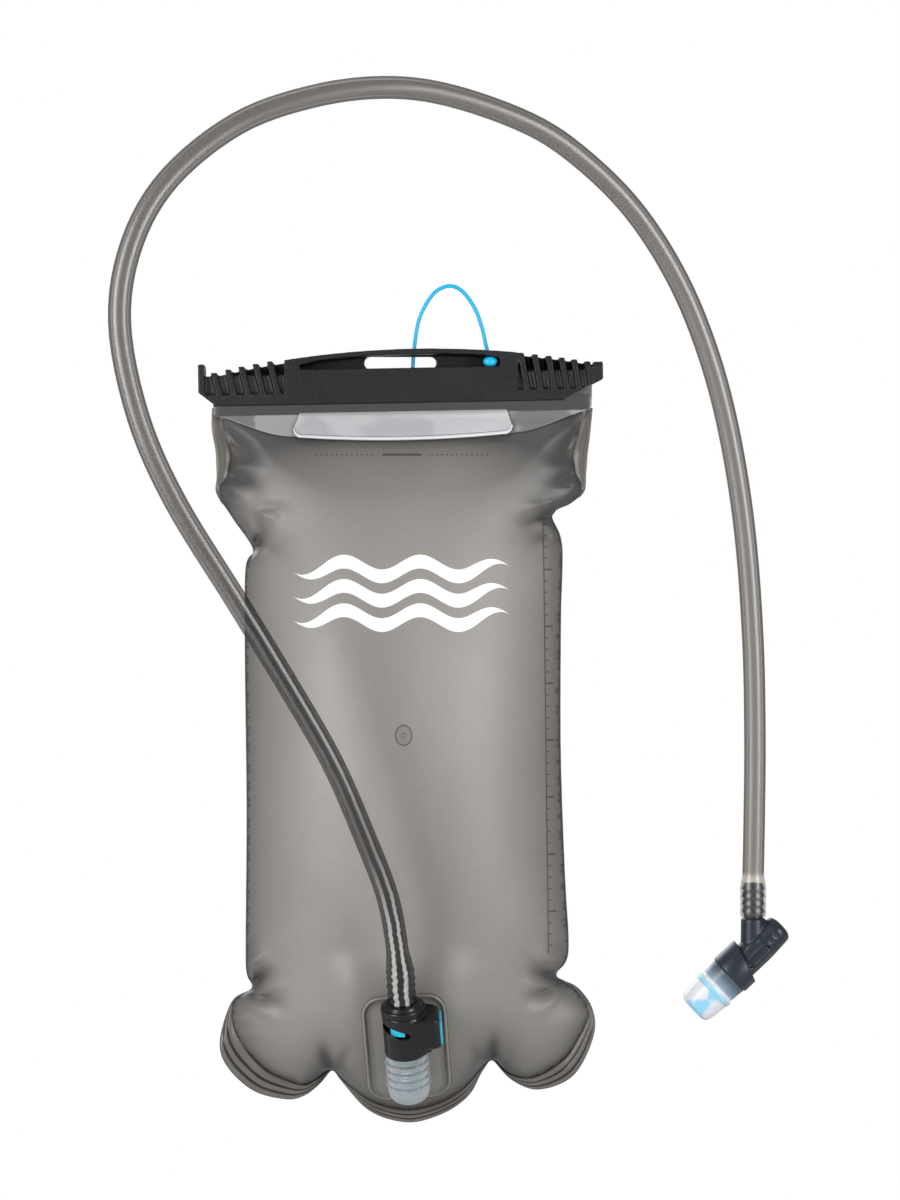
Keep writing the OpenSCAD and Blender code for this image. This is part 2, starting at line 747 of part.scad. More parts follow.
// Hollow spool whose side port lines up with the branch when the valve is open
module shutoff_spool() {
    color([0.05, 0.40, 0.68])
        at_valve()
            difference() {
                translate([0, 0, -12]) cylinder(r = spool_r, h = 24.8);
                translate([0, 0, -4]) cylinder(r = 3, h = 18);
                rotate([0, 180 + valve_turn - 2 * (90 + valve_turn), 0]) cylinder(r = 2.3, h = 12);
                translate([0, 0, -9.2])
                    rotate_extrude() translate([3.85, -0.7]) square([3, 1.4]);
            }
}

module spool_o_ring() {
    color([0.14, 0.14, 0.15])
        at_valve() translate([0, 0, -9.2]) rotate_extrude() translate([4.42, 0]) circle(0.54);
}

// Stiff blue core that carries the mouthpiece and splits its flow
module bite_core() {
    color([0.25, 0.62, 0.86])
        at_valve()
            difference() {
                union() {
                    translate([0, 0, 14.65]) cylinder(r = 8.6, h = 1.4);
                    translate([0, 0, 14.65]) cylinder(r = 6.4, h = 7);
                    translate([0, 1.4, 0]) rotate([90, 0, 0])
                        linear_extrude(2.8)
                            polygon([[-6, 21], [-1.3, 27], [-5, 33], [5, 33], [1.3, 27], [6, 21]]);
                }
                translate([0, 0, 14]) cylinder(r = 3, h = 6);
                for (x = [-3.6, 3.6]) translate([x, 0, 18]) cylinder(r = 1.5, h = 6);
            }
}

// Soft slit mouthpiece
module bite_valve() {
    color([0.90, 0.92, 0.93])
        at_valve()
            difference() {
                rotate_extrude()
                    polygon([
                        [0, 16.1], [8.05, 16.1], [8.05, 22.3], [lip_r, 22.7], [lip_r, 24.3], [8.6, 25], [8.4, 31],
                        [7.9, 34.5], [6.8, 36.1], [5, 36.6], [0, 36.6]
                    ]);
                translate([0, 0, 15]) cylinder(r = 6.5, h = 18.4);
                translate([-4.5, -0.4, 30]) cube([9, 0.8, 8]);
            }
}

front_panel();
back_panel();
perimeter_weld();
centre_weld_disc();
top_rail();
top_fold();
closure_flap();
flap_stiffener();
pull_tab();
slide_bar();
tether_cord();
tether_bead();
tether_anchor();
port_patch();
connector_housing();
port_receiver();
release_latch();
latch_spring();
shutoff_poppet();
poppet_gasket();
poppet_spring();
plug_body();
plug_o_ring();
drink_hose();
valve_body();
valve_end_cap();
shutoff_collar();
shutoff_spool();
spool_o_ring();
bite_core();
bite_valve();
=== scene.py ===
"""Looks for the hydration bladder: welded film bag, slide bar, port, hose and bite valve.

Lengths in this script are millimetres and are turned into metres as each mesh is made.
X runs across the bag, Y towards the wearer's back and Z up, as in the frame.
"""

import math
from functools import partialmethod

import bmesh
import bpy
import numpy as np
from mathutils import Matrix, Vector
from mathutils.bvhtree import BVHTree
from mathutils.geometry import delaunay_2d_cdt


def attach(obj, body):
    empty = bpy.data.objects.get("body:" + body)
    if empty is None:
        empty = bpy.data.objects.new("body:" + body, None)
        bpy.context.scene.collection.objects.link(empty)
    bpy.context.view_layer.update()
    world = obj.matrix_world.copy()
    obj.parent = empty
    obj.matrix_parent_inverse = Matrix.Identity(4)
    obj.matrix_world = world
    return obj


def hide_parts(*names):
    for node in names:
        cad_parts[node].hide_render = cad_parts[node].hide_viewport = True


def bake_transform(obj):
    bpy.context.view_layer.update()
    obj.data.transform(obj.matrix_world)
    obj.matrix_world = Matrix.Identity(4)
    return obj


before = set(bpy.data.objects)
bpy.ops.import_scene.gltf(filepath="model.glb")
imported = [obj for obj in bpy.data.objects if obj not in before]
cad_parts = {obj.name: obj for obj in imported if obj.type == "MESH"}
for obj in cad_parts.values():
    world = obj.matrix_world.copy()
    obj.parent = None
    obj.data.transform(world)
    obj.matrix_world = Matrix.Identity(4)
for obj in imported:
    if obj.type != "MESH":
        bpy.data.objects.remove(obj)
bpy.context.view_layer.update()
MM = 0.001


# ---- Curves and meshes -------------------------------------------------------------------------


def spline(points, per_span, closed=False):
    """A Catmull-Rom curve through rows of numbers, with per_span points to each span."""
    p = np.array(points, float)
    n = len(p)
    rows = []
    for i in range(n if closed else n - 1):
        near = [(i + k - 1) % n if closed else min(max(i + k - 1, 0), n - 1) for k in range(4)]
        a, b, c, d = p[near]
        for u in np.arange(per_span) / per_span:
            bend = (2 * a - 5 * b + 4 * c - d) * u * u + (3 * b - a - 3 * c + d) * u**3
            rows.append(0.5 * (2 * b + (c - a) * u + bend))
    if not closed:
        rows.append(p[-1])
    return np.array(rows)


def lengths(points):
    """Distance along a run of points, from its first one."""
    return np.concatenate([[0], np.cumsum(np.linalg.norm(np.diff(points, axis=0), axis=1))])


def even(points, step, measure=None):
    """The same curve with its points about step apart, measured on its first columns."""
    run = lengths(points[:, :measure] if measure else points)
    count = max(int(round(run[-1] / step)), 2)
    at = np.linspace(0, run[-1], count + 1)
    return np.stack([np.interp(at, run, column) for column in points.T], axis=1)


def smooth(t):
    t = np.clip(t, 0, 1)
    return t * t * (3 - 2 * t)


def mesh_object(name, points, faces, matrix=None):
    """A smooth-shaded mesh object from points in millimetres."""
    mesh = bpy.data.meshes.new(name)
    mesh.from_pydata((np.array(points, float) * MM).tolist(), [], [list(map(int, f)) for f in faces])
    if matrix is not None:
        mesh.transform(matrix)
    mesh.update()
    mesh.shade_smooth()
    obj = bpy.data.objects.new(name, mesh)
    bpy.context.scene.collection.objects.link(obj)
    return obj


def grid_faces(rows, columns, start=0, wrap=False):
    """Quads between the points of a grid stored row by row; wrap joins its last column to its first."""
    faces = []
    for r in range(rows - 1):
        for c in range(columns if wrap else columns - 1):
            d = (c + 1) % columns
            a = start + r * columns
            faces.append((a + c, a + d, a + columns + d, a + columns + c))
    return faces


def tube(path, radii, sides, inner=None):
    """Points and faces of a round rod along a path, or of a tube when inner radii are given."""
    path = np.array(path, float)
    tangents = np.gradient(path, axis=0)
    tangents /= np.linalg.norm(tangents, axis=1)[:, None]
    reference = np.cross(tangents[0], [0.3, 1, 0.2])
    frames = []
    for t in tangents:
        reference = reference - t * np.dot(reference, t)
        reference /= np.linalg.norm(reference)
        frames.append((reference, np.cross(t, reference)))
    angles = np.arange(sides) * 2 * math.pi / sides
    points = []
    for wall in [radii] if inner is None else [radii, inner]:
        for p, (u, v), r in zip(path, frames, wall):
            points += [p + r * (math.cos(a) * u + math.sin(a) * v) for a in angles]
    n = len(path)
    faces = grid_faces(n, sides, 0, True)
    if inner is None:
        faces.append(tuple(reversed(range(sides))))
        faces.append(tuple(range((n - 1) * sides, n * sides)))
        return points, faces
    shift = n * sides
    faces += [tuple(reversed(f)) for f in grid_faces(n, sides, shift, True)]
    for j in range(sides):
        k = (j + 1) % sides
        faces.append((j, shift + j, shift + k, k))
        a = (n - 1) * sides
        faces.append((a + j, a + k, shift + a + k, shift + a + j))
    return points, faces


def revolve(profile, sides=72):
    """A profile of (radius, height) turned about Z, with capped ends unless it ends where it starts."""
    angles = np.arange(sides) * 2 * math.pi / sides
    points = [(r * math.cos(a), r * math.sin(a), z) for r, z in profile for a in angles]
    faces = grid_faces(len(profile), sides, 0, True)
    if profile[0][0] > 1e-6 and profile[-1] == profile[0]:
        points = points[:-sides]
        count = len(profile) - 1
        faces = [tuple(i % (count * sides) for i in f) for f in faces]
    else:
        faces.append(tuple(reversed(range(sides))))
        faces.append(tuple(range((len(profile) - 1) * sides, len(profile) * sides)))
    return points, faces


def shape(obj, kind, **settings):
    """Adds a modifier to obj and gives obj back."""
    modifier = obj.modifiers.new(kind.title(), kind)
    for key, value in settings.items():
        setattr(modifier, key, value)
    return obj


def subdivide(obj):
    return shape(obj, "SUBSURF", levels=1, render_levels=1)


def thicken(obj, thickness, offset=0):
    """Gives a sheet its thickness in millimetres, behind its face when offset is -1."""
    return shape(obj, "SOLIDIFY", thickness=thickness * MM, offset=offset)


def round_edges(obj, width):
    return shape(obj, "BEVEL", width=width * MM, segments=2, limit_method="ANGLE")


def bake(obj):
    """Replaces an object's mesh with what its modifiers make of it."""
    bpy.context.view_layer.update()
    evaluated = obj.evaluated_get(bpy.context.evaluated_depsgraph_get())
    mesh = bpy.data.meshes.new_from_object(evaluated)
    obj.modifiers.clear()
    obj.data = mesh
    obj.data.shade_smooth()
    return obj


def positions(obj):
    """An object's points in millimetres."""
    co = np.empty(len(obj.data.vertices) * 3)
    obj.data.vertices.foreach_get("co", co)
    return co.reshape(-1, 3) / MM


def place(obj, points):
    obj.data.vertices.foreach_set("co", (points * MM).ravel())
    obj.data.update()


def paint(obj, name, values):
    """Stores one number a point for a material to read."""
    attribute = obj.data.attributes.new(name, "FLOAT", "POINT")
    attribute.data.foreach_set("value", np.array(values, np.float32))


def finish(obj, body, material, *replaced):
    """Gives obj its material in a single slot, rides it on a body and hides the CAD nodes it stands for."""
    obj.data.materials.clear()
    obj.data.materials.append(material)
    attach(obj, body)
    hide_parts(*replaced)


def joined(name, parts, voxel, passes):
    """One moulding made of overlapping solids, with soft fillets where they meet."""
    points, faces = [], []
    for part_points, part_faces in parts:
        start = len(points)
        points += [tuple(p) for p in part_points]
        faces += [tuple(i + start for i in f) for f in part_faces]
    obj = mesh_object(name, points, faces)
    shape(obj, "REMESH", mode="VOXEL", voxel_size=voxel * MM)
    shape(obj, "SMOOTH", factor=0.5, iterations=passes)
    return bake(obj)


def cut(obj, points, faces):
    """Takes a solid away from obj."""
    tool = mesh_object("tool", points, faces)
    sides = bmesh.new()
    sides.from_mesh(tool.data)
    bmesh.ops.recalc_face_normals(sides, faces=sides.faces)
    sides.to_mesh(tool.data)
    sides.free()
    shape(obj, "BOOLEAN", operation="DIFFERENCE", solver="EXACT", object=tool)
    bake(obj)
    bpy.data.objects.remove(tool)


def stadium(x, z, half_long, half_wide):
    """Distance outside a slot shape that runs along z."""
    return np.hypot(x, np.maximum(abs(z) - (half_long - half_wide), 0)) - half_wide


def slab(outline, low, high, plane="XZ"):
    """A flat outline in a plane, given thickness across it from low to high."""
    order = {"XZ": (0, 2, 1), "YZ": (2, 0, 1), "XY": (0, 1, 2)}[plane]
    points = []
    for depth in (low, high):
        for a, b in outline:
            spot = (a, b, depth)
            points.append(tuple(spot[k] for k in order))
    n = len(outline)
    faces = [tuple(reversed(range(n))), tuple(range(n, 2 * n))]
    faces += [(i, (i + 1) % n, n + (i + 1) % n, n + i) for i in range(n)]
    return points, faces


def rounded(x0, z0, x1, z1, radius, steps=6):
    """Outline of a rectangle with round corners."""
    points = []
    for cx, cz, start in (
        (x1 - radius, z0 + radius, -90), (x1 - radius, z1 - radius, 0),
        (x0 + radius, z1 - radius, 90), (x0 + radius, z0 + radius, 180),
    ):
        for k in range(steps + 1):
            a = math.radians(start + 90 * k / steps)
            points.append((cx + radius * math.cos(a), cz + radius * math.sin(a)))
    return points


# ---- Materials ---------------------------------------------------------------------------------


class Graph:
    """The node graph of a material or of the world, with short calls for the nodes used here."""

    def __init__(self, name, kind="Material"):
        owners = bpy.data.worlds if kind == "World" else bpy.data.materials
        self.owner = owners.new(name)
        self.owner.use_nodes = True
        self.tree = self.owner.node_tree
        self.tree.nodes.clear()
        self.output = self.node("Output" + kind)
        self.place = self.node("TexCoord").outputs["Object"]
        split = self.node("SeparateXYZ", Vector=self.place)
        self.x, self.y, self.z = (self.times(split.outputs[i], 1000) for i in range(3))

    def node(self, kind, settings=None, **inputs):
        node = self.tree.nodes.new("ShaderNode" + kind)
        for key, value in (settings or {}).items():
            setattr(node, key, value)
        for key, value in inputs.items():
            self.put(node, key.replace("_", " "), value)
        return node

    def put(self, node, key, value):
        socket = node.inputs[key]
        if isinstance(value, bpy.types.NodeSocket):
            self.tree.links.new(value, socket)
        elif isinstance(value, (tuple, list)) and len(value) == 3 and socket.type == "RGBA":
            socket.default_value = (*value, 1)
        else:
            socket.default_value = value

    def math(self, operation, *values):
        node = self.node("Math", {"operation": operation})
        for i, value in enumerate(values):
            self.put(node, i, value)
        return node.outputs[0]

    times, scaled = partialmethod(math, "MULTIPLY"), partialmethod(math, "MULTIPLY_ADD")
    plus, minus = partialmethod(math, "ADD"), partialmethod(math, "SUBTRACT")
    most, least = partialmethod(math, "MAXIMUM"), partialmethod(math, "MINIMUM")
    size, wave = partialmethod(math, "ABSOLUTE"), partialmethod(math, "SINE")
    zigzag = partialmethod(math, "PINGPONG")

    def step(self, value, low, high):
        """0 below low, 1 above high and smooth between; falls instead when low is above high."""
        node = self.node("MapRange", {"interpolation_type": "SMOOTHSTEP"}, Value=value)
        ends = (low, high, 0, 1) if low < high else (high, low, 1, 0)
        for key, end in zip(("From Min", "From Max", "To Min", "To Max"), ends):
            node.inputs[key].default_value = end
        return node.outputs["Result"]

    def band(self, value, centre, half, soft=0.15):
        """1 where value is within half of centre."""
        off = self.size(self.minus(value, centre))
        return self.step(off, half + soft, half)

    def mix(self, factor, a, b):
        node = self.node("Mix", {"data_type": "RGBA"})
        self.put(node, 0, factor)
        self.put(node, 6, a)
        self.put(node, 7, b)
        return node.outputs[2]

    def noise(self, scale, detail=3, stretch=None):
        place = self.place
        if stretch:
            place = self.node("Mapping", Vector=place, Scale=stretch).outputs[0]
        return self.node("TexNoise", Vector=place, Scale=scale, Detail=detail).outputs["Fac"]

    def stored(self, name):
        return self.node("Attribute", {"attribute_name": name}).outputs["Fac"]

    def bump(self, height, distance, strength=1.0, normal=None):
        node = self.node("Bump", Height=height, Distance=distance * MM, Strength=strength)
        if normal is not None:
            self.put(node, "Normal", normal)
        return node.outputs["Normal"]

    def principled(self, **inputs):
        return self.node("BsdfPrincipled", **inputs)

    def close(self, shader):
        self.tree.links.new(shader.outputs[0], self.output.inputs["Surface"])
        return self.owner

    def mix_shader(self, factor, a, b):
        node = self.node("MixShader")
        self.put(node, 0, factor)
        self.tree.links.new(a.outputs[0], node.inputs[1])
        self.tree.links.new(b.outputs[0], node.inputs[2])
        return node


SMOKE = (0.265, 0.25, 0.232)
# the colour that painted shade on the film darkens towards
SMOKE_SHADE = (0.055, 0.053, 0.051)
WELD_LINES = (0.42, 0.72)  # shares of the flange's width


def film_material(name, prints=False, gloss=0.37):
    """Satin smoke-grey film, with painted shade where it turns away from the eye and where its stored
    attribute says:
    painted shade on the films, with dark outlines as well on the port patch and the weld disc.
    """
    g = Graph(name)
    facing = g.node("LayerWeight", Blend=0.35).outputs["Facing"]
    cloud = g.noise(14, 2)
    fine = g.noise(420, 4)
    tone = g.mix(g.step(cloud, 0.35, 0.7), SMOKE, tuple(c * 1.13 for c in SMOKE))
    tone = g.mix(g.times(g.step(fine, 0.56, 0.74), 0.22), tone, tuple(c * 0.72 for c in SMOKE))
    # painted shade where the film turns away from the eye
    tone = g.mix(g.times(g.step(facing, 0.15, 0.95), 0.75), tone, SMOKE_SHADE)
    # painted shade stored on the films, and dark outlines stored on the patch and weld disc
    tone = g.mix(g.times(g.stored("painted_shade_and_outline"), 0.92), tone, SMOKE_SHADE)
    if prints:
        tone = printed(g, tone)
    rough = g.scaled(g.noise(60, 3), 0.16, gloss)
    normal = g.bump(g.noise(30, 2), 0.9, 0.5)
    normal = g.bump(g.noise(900, 3), 0.05, 0.5, normal)
    satin = g.principled(Base_Color=tone, Roughness=rough, Normal=normal, IOR=1.46)
    glow = g.node("BsdfTranslucent", Color=tone, Normal=normal)
    return g.close(g.mix_shader(0.22, satin, glow))


def printed(g, tone):
    """Generic printing on the front: waves, a dotted fill line and a volume scale with plain ticks."""
    ink = (0.035, 0.034, 0.033)
    front = g.step(g.y, -15, -16)
    # three white waves that taper at both ends
    off_centre = g.size(g.x)
    taper = g.step(off_centre, 49, 30)
    swing = g.times(g.wave(g.times(g.x, 2 * math.pi / 33)), 3.2)
    waves = 0.0
    for height in (54, 64.5, 75):
        off = g.size(g.minus(g.minus(g.z, height), swing))
        inside = g.minus(g.times(taper, 3.1), off)
        waves = g.most(waves, g.step(inside, 0, 0.25))
    tone = g.mix(g.times(waves, front), tone, (0.88, 0.88, 0.87))
    # dotted fill line, broken in the middle by a plain drop of ink
    dots = g.band(g.zigzag(g.x, 1.1), 0, 0.32)
    row = g.band(g.z, 125.4, 0.32)
    span = g.times(g.step(off_centre, 38, 37.6), g.step(off_centre, 11, 11.4))
    fill = g.times(g.times(dots, row), span)
    bar = g.times(g.band(g.z, 125.4, 0.5), g.step(off_centre, 8.6, 8.4))
    # volume scale down the right
    height = g.times(g.step(g.z, -94, -93.6), g.step(g.z, 96, 95.6))
    reach = g.scaled(g.z, 0.012, g.x)
    line = g.band(reach, 63.2, 0.2)
    minor = g.times(g.band(g.zigzag(g.z, 2.5), 0, 0.2), g.band(reach, 64, 0.8))
    major = g.times(g.band(g.zigzag(g.z, 12.5), 0, 0.3), g.band(reach, 65, 1.8))
    ticks = g.times(g.most(line, g.most(minor, major)), height)
    marks = g.most(g.most(fill, bar), ticks)
    return g.mix(g.times(marks, g.times(front, 0.75)), tone, ink)


def weld_material():
    """Doubled film of the flange: brownish bands between dark weld lines, across its stored width."""
    g = Graph("weld_film")
    across = g.stored("across")
    lines = g.most(*(g.band(across, line, 0.04, 0.04) for line in WELD_LINES))
    lines = g.most(lines, g.step(across, 0.16, 0.03))
    lines = g.most(lines, g.step(across, 0.93, 1.0))
    tone = g.mix(g.noise(60, 3), (0.10, 0.092, 0.083), (0.165, 0.153, 0.14))
    tone = g.mix(g.times(lines, g.stored("lined")), tone, (0.022, 0.02, 0.019))
    normal = g.bump(g.noise(700, 3), 0.05, 0.4)
    satin = g.principled(Base_Color=tone, Roughness=0.34, Normal=normal, IOR=1.46)
    glow = g.node("BsdfTranslucent", Color=tone, Normal=normal)
    return g.close(g.mix_shader(0.25, satin, glow))


def flap_material():
    """Milky film with lighter patches where it clings to the layer behind."""
    g = Graph("flap_film")
    patches = g.step(g.noise(38, 2), 0.47, 0.53)
    tone = g.mix(patches, (0.19, 0.186, 0.182), (0.34, 0.338, 0.336))
    normal = g.bump(g.noise(45, 2), 0.7, 0.5)
    satin = g.principled(Base_Color=tone, Roughness=0.26, Normal=normal, IOR=1.46)
    clear = g.node("BsdfTransparent", Color=(0.86, 0.86, 0.86))
    return g.close(g.mix_shader(0.3, satin, clear))


def grain_material(name, tone, rough=0.5, grain=0.12, size=1500, edge_lightening=0.35):
    """Moulded black plastic with spark-eroded grain, a little lighter on its sharpest edges."""
    g = Graph(name)
    spots = g.noise(size, 3)
    fine = g.noise(size * 2.7, 2)
    smear = g.noise(70, 3)
    edge = g.node("NewGeometry").outputs["Pointiness"]
    light = tuple(min(c * 2.2 + 0.008, 1) for c in tone)
    # sharp edges drawn a little lighter
    colour = g.mix(g.times(g.step(edge, 0.52, 0.6), edge_lightening), tone, light)
    colour = g.mix(g.times(g.step(spots, 0.5, 0.72), 0.28), colour, light)
    roughness = g.scaled(smear, 0.2, rough - 0.1)
    normal = g.bump(spots, grain, 0.8)
    normal = g.bump(fine, grain * 0.4, 0.6, normal)
    return g.close(g.principled(Base_Color=colour, Roughness=roughness, Normal=normal, IOR=1.38))


def gloss_material(name, tone, rough=0.2, **more):
    """Smooth moulded plastic or rubber with faint flow marks and a slightly uneven gloss."""
    g = Graph(name)
    colour = g.mix(g.times(g.noise(110, 3), 0.25), tone, tuple(c * 0.72 for c in tone))
    roughness = g.scaled(g.noise(160, 3), 0.14, rough - 0.05)
    normal = g.bump(g.noise(260, 2), 0.06, 0.4)
    return g.close(g.principled(Base_Color=colour, Roughness=roughness, Normal=normal, **more))


def tab_material():
    """Pale satin plastic under clear film, clouded where they touch, with painted shade along its top, a
    painted dark line and a painted highlight on its rolled rim low down, and a painted shadow along its lower
    edge.
    """
    g = Graph("tab_white")
    down = g.stored("down")
    cloud = g.step(g.noise(26, 2), 0.52, 0.58)
    tone = g.mix(g.times(cloud, 0.5), (0.40, 0.405, 0.415), (0.27, 0.275, 0.29))
    # painted shade along the top of the tab, under the strip
    tone = g.mix(g.times(g.step(down, 0.22, 0.0), 0.6), tone, (0.13, 0.13, 0.135))
    # painted dark line just above the rolled rim
    tone = g.mix(g.times(g.band(down, 0.875, 0.008, 0.012), 0.75), tone, (0.09, 0.09, 0.095))
    # painted highlight along the rolled rim
    tone = g.mix(g.step(down, 0.9, 0.93), tone, (0.58, 0.585, 0.60))
    # painted shadow along the lower edge
    tone = g.mix(g.times(g.step(down, 0.972, 0.985), 0.8), tone, (0.08, 0.08, 0.08))
    roughness = g.scaled(g.noise(160, 3), 0.14, 0.16)
    normal = g.bump(g.noise(60, 2), 0.2, 0.4)
    return g.close(g.principled(Base_Color=tone, Roughness=roughness, Normal=normal))


def clear_material():
    """Clear moulding: tinted transmission with fine streaks along its length."""
    g = Graph("clear_moulding")
    colour = g.mix(g.times(g.noise(90, 3, (1, 1, 0.12)), 0.35), (0.90, 0.93, 0.94), (0.63, 0.651, 0.658))
    roughness = g.scaled(g.noise(220, 2), 0.08, 0.09)
    normal = g.bump(g.noise(120, 2), 0.05, 0.35)
    return g.close(g.principled(
        Base_Color=colour, Roughness=roughness, Normal=normal, IOR=1.42, Transmission_Weight=1.0,
    ))


def hose_material():
    """Smoke-tinted soft hose: see-through where it faces the eye, darker where its wall is seen on edge,
    clearer where it is stretched over the valve's stem, with painted shade where it lies over the bag, and
    with painted wavy highlights where it grips the plug and faint ones over the bag."""
    g = Graph("hose_smoke")
    facing = g.node("LayerWeight", Blend=0.5).outputs["Facing"]
    streak = g.noise(90, 3, (1, 1, 0.12))
    reach = g.stored("reach")
    outside = g.minus(1.0, g.stored("inner"))
    rim = g.times(g.step(facing, 0.22, 0.45), outside)
    rim = g.most(rim, g.times(g.step(facing, 0.5, 0.95), 0.5))
    plain = g.mix(g.step(reach, 560, 760), (0.66, 0.643, 0.627), (0.715, 0.695, 0.677))
    tint = g.mix(rim, plain, (0.34, 0.326, 0.312))
    tint = g.mix(g.times(streak, 0.25), tint, (0.57, 0.55, 0.53))
    # painted shade where the hose lies over the bag
    tint = g.mix(g.times(g.step(reach, 280, 150), 0.9), tint, (0.50, 0.49, 0.48))
    tint = g.mix(g.times(g.stored("grip"), 0.7), tint, (0.93, 0.91, 0.89))
    near_side = g.times(outside, g.minus(1.0, g.node("NewGeometry").outputs["Backfacing"]))
    tint = g.mix(g.times(near_side, 0.12), tint, (0, 0, 0))
    clear = g.node("BsdfTransparent", Color=tint)
    wall = g.node("BsdfDiffuse", Color=(0.09, 0.083, 0.077))
    body = g.mix_shader(g.times(near_side, 0.05), clear, wall)
    # painted wavy highlights: strong near the plug, faint over the bag, on the front of the near wall
    near = g.step(reach, 75, 25)
    ripple = g.times(g.wave(g.times(reach, 1.9)), g.times(near, 0.028))
    drift = g.times(g.minus(g.noise(120, 3), 0.5), 0.3)
    side = g.plus(g.stored("side"), g.plus(ripple, drift))
    painted_glint = g.most(g.band(side, -0.38, 0.12, 0.1), g.band(side, 0.40, 0.09, 0.1))
    painted_glint = g.times(painted_glint, g.times(near_side, g.step(g.stored("front"), 0.2, 0.5)))
    strength = g.scaled(near, 0.42, g.times(g.step(reach, 235, 175), 0.07))
    shine = g.principled(Base_Color=(0.66, 0.65, 0.64), Roughness=0.25)
    body = g.mix_shader(g.times(painted_glint, strength), body, shine)
    sheen = g.node("BsdfGlossy", Color=(1, 1, 1), Roughness=0.36)
    mirror = g.times(g.node("Fresnel", IOR=1.6).outputs["Fac"], g.times(near_side, 1.2))
    most = g.scaled(g.step(reach, 150, 300), 0.055, 0.045)
    return g.close(g.mix_shader(g.least(mirror, most), body, sheen))


def frosted_material():
    """Frosted clear moulding, cool in tone, with painted shade in the grooves beside its ribs."""
    g = Graph("frosted_moulding")
    facing = g.node("LayerWeight", Blend=0.4).outputs["Facing"]
    flow = g.noise(120, 3, (1, 1, 0.4))
    tone = g.mix(flow, (0.36, 0.41, 0.44), (0.86, 0.90, 0.91))
    # painted shade in the rib grooves, from the stored attribute
    tone = g.mix(g.times(g.stored("painted_shade_and_outline"), 0.9), tone, (0.03, 0.04, 0.048))
    tone = g.mix(g.times(facing, 0.35), tone, (0.70, 0.72, 0.72))
    shell = g.principled(Base_Color=tone, Roughness=0.16, IOR=1.46)
    clear = g.node("BsdfTransparent", Color=(0.74, 0.79, 0.81))
    return g.close(g.mix_shader(g.scaled(facing, 0.35, 0.2), clear, shell))


def steel_material():
    """Drawn spring wire."""
    g = Graph("spring_steel")
    roughness = g.scaled(g.noise(900, 2), 0.2, 0.18)
    return g.close(g.principled(Base_Color=(0.62, 0.62, 0.64), Metallic=1.0, Roughness=roughness))


def silicone_material():
    """Translucent white silicone with the blue core showing through it as a waisted shape."""
    g = Graph("silicone")
    blot = g.scaled(g.noise(170, 2), 7.0, -2.6)
    waist = g.scaled(g.size(g.minus(g.stored("reach"), 28.5)), 0.55, blot)
    core = g.step(g.minus(g.size(g.stored("side")), waist), 1.6, -1.2)
    core = g.times(core, g.step(g.stored("reach"), 22.5, 25))
    neck = g.step(g.stored("reach"), 22, 20.5)
    ring = g.band(g.stored("reach"), 24.2, 1.0, 0.5)
    tone = g.mix(g.times(core, 0.85), (0.74, 0.74, 0.77), (0.22, 0.58, 0.78))
    shaded = g.mix(g.step(g.stored("reach"), 15, 22), (0.045, 0.07, 0.095), (0.24, 0.34, 0.42))
    tone = g.mix(g.times(neck, 0.95), tone, shaded)
    tone = g.mix(g.times(ring, 0.75), tone, (0.25, 0.62, 0.78))
    roughness = g.scaled(g.noise(200, 3), 0.16, 0.2)
    normal = g.bump(g.noise(160, 2), 0.1, 0.4)
    body = g.principled(
        Base_Color=tone, Roughness=roughness, Normal=normal, IOR=1.41,
        Subsurface_Weight=0.2, Subsurface_Scale=0.003,
    )
    glow = g.node("BsdfTranslucent", Color=tone)
    return g.close(g.mix_shader(0.25, body, glow))


FILM_FRONT = film_material("film_front", prints=True)
FILM = film_material("film_plain")
PATCH = film_material("film_patch", gloss=0.16)
WELD = weld_material()
FLAP = flap_material()
BAR_BLACK = grain_material("bar_black", (0.0055, 0.0062, 0.0072), rough=0.46, grain=0.3, size=900, edge_lightening=0.2)
PORT_BLACK = gloss_material("port_black", (0.008, 0.008, 0.01), rough=0.24, IOR=1.4)
VALVE_BLACK = grain_material("valve_black", (0.013, 0.019, 0.026), rough=0.36, grain=0.03, size=2000)
STRIP_BLACK = gloss_material("strip_black", (0.048, 0.047, 0.047), rough=0.3)
SEAL = gloss_material("seal_rubber", (0.02, 0.02, 0.022), rough=0.4)
CORD_BLUE = gloss_material("cord_blue", (0.002, 0.38, 0.66), rough=0.4)
LATCH_BLUE = gloss_material("latch_blue", (0.02, 0.45, 0.62), rough=0.22)
CORE_BLUE = gloss_material("core_blue", (0.10, 0.52, 0.82), rough=0.25)
TAB_WHITE = tab_material()
CLEAR = clear_material()
HOSE_SMOKE = hose_material()
FROSTED = frosted_material()
STEEL = steel_material()
SILICONE = silicone_material()


# ---- The bag -----------------------------------------------------------------------------------

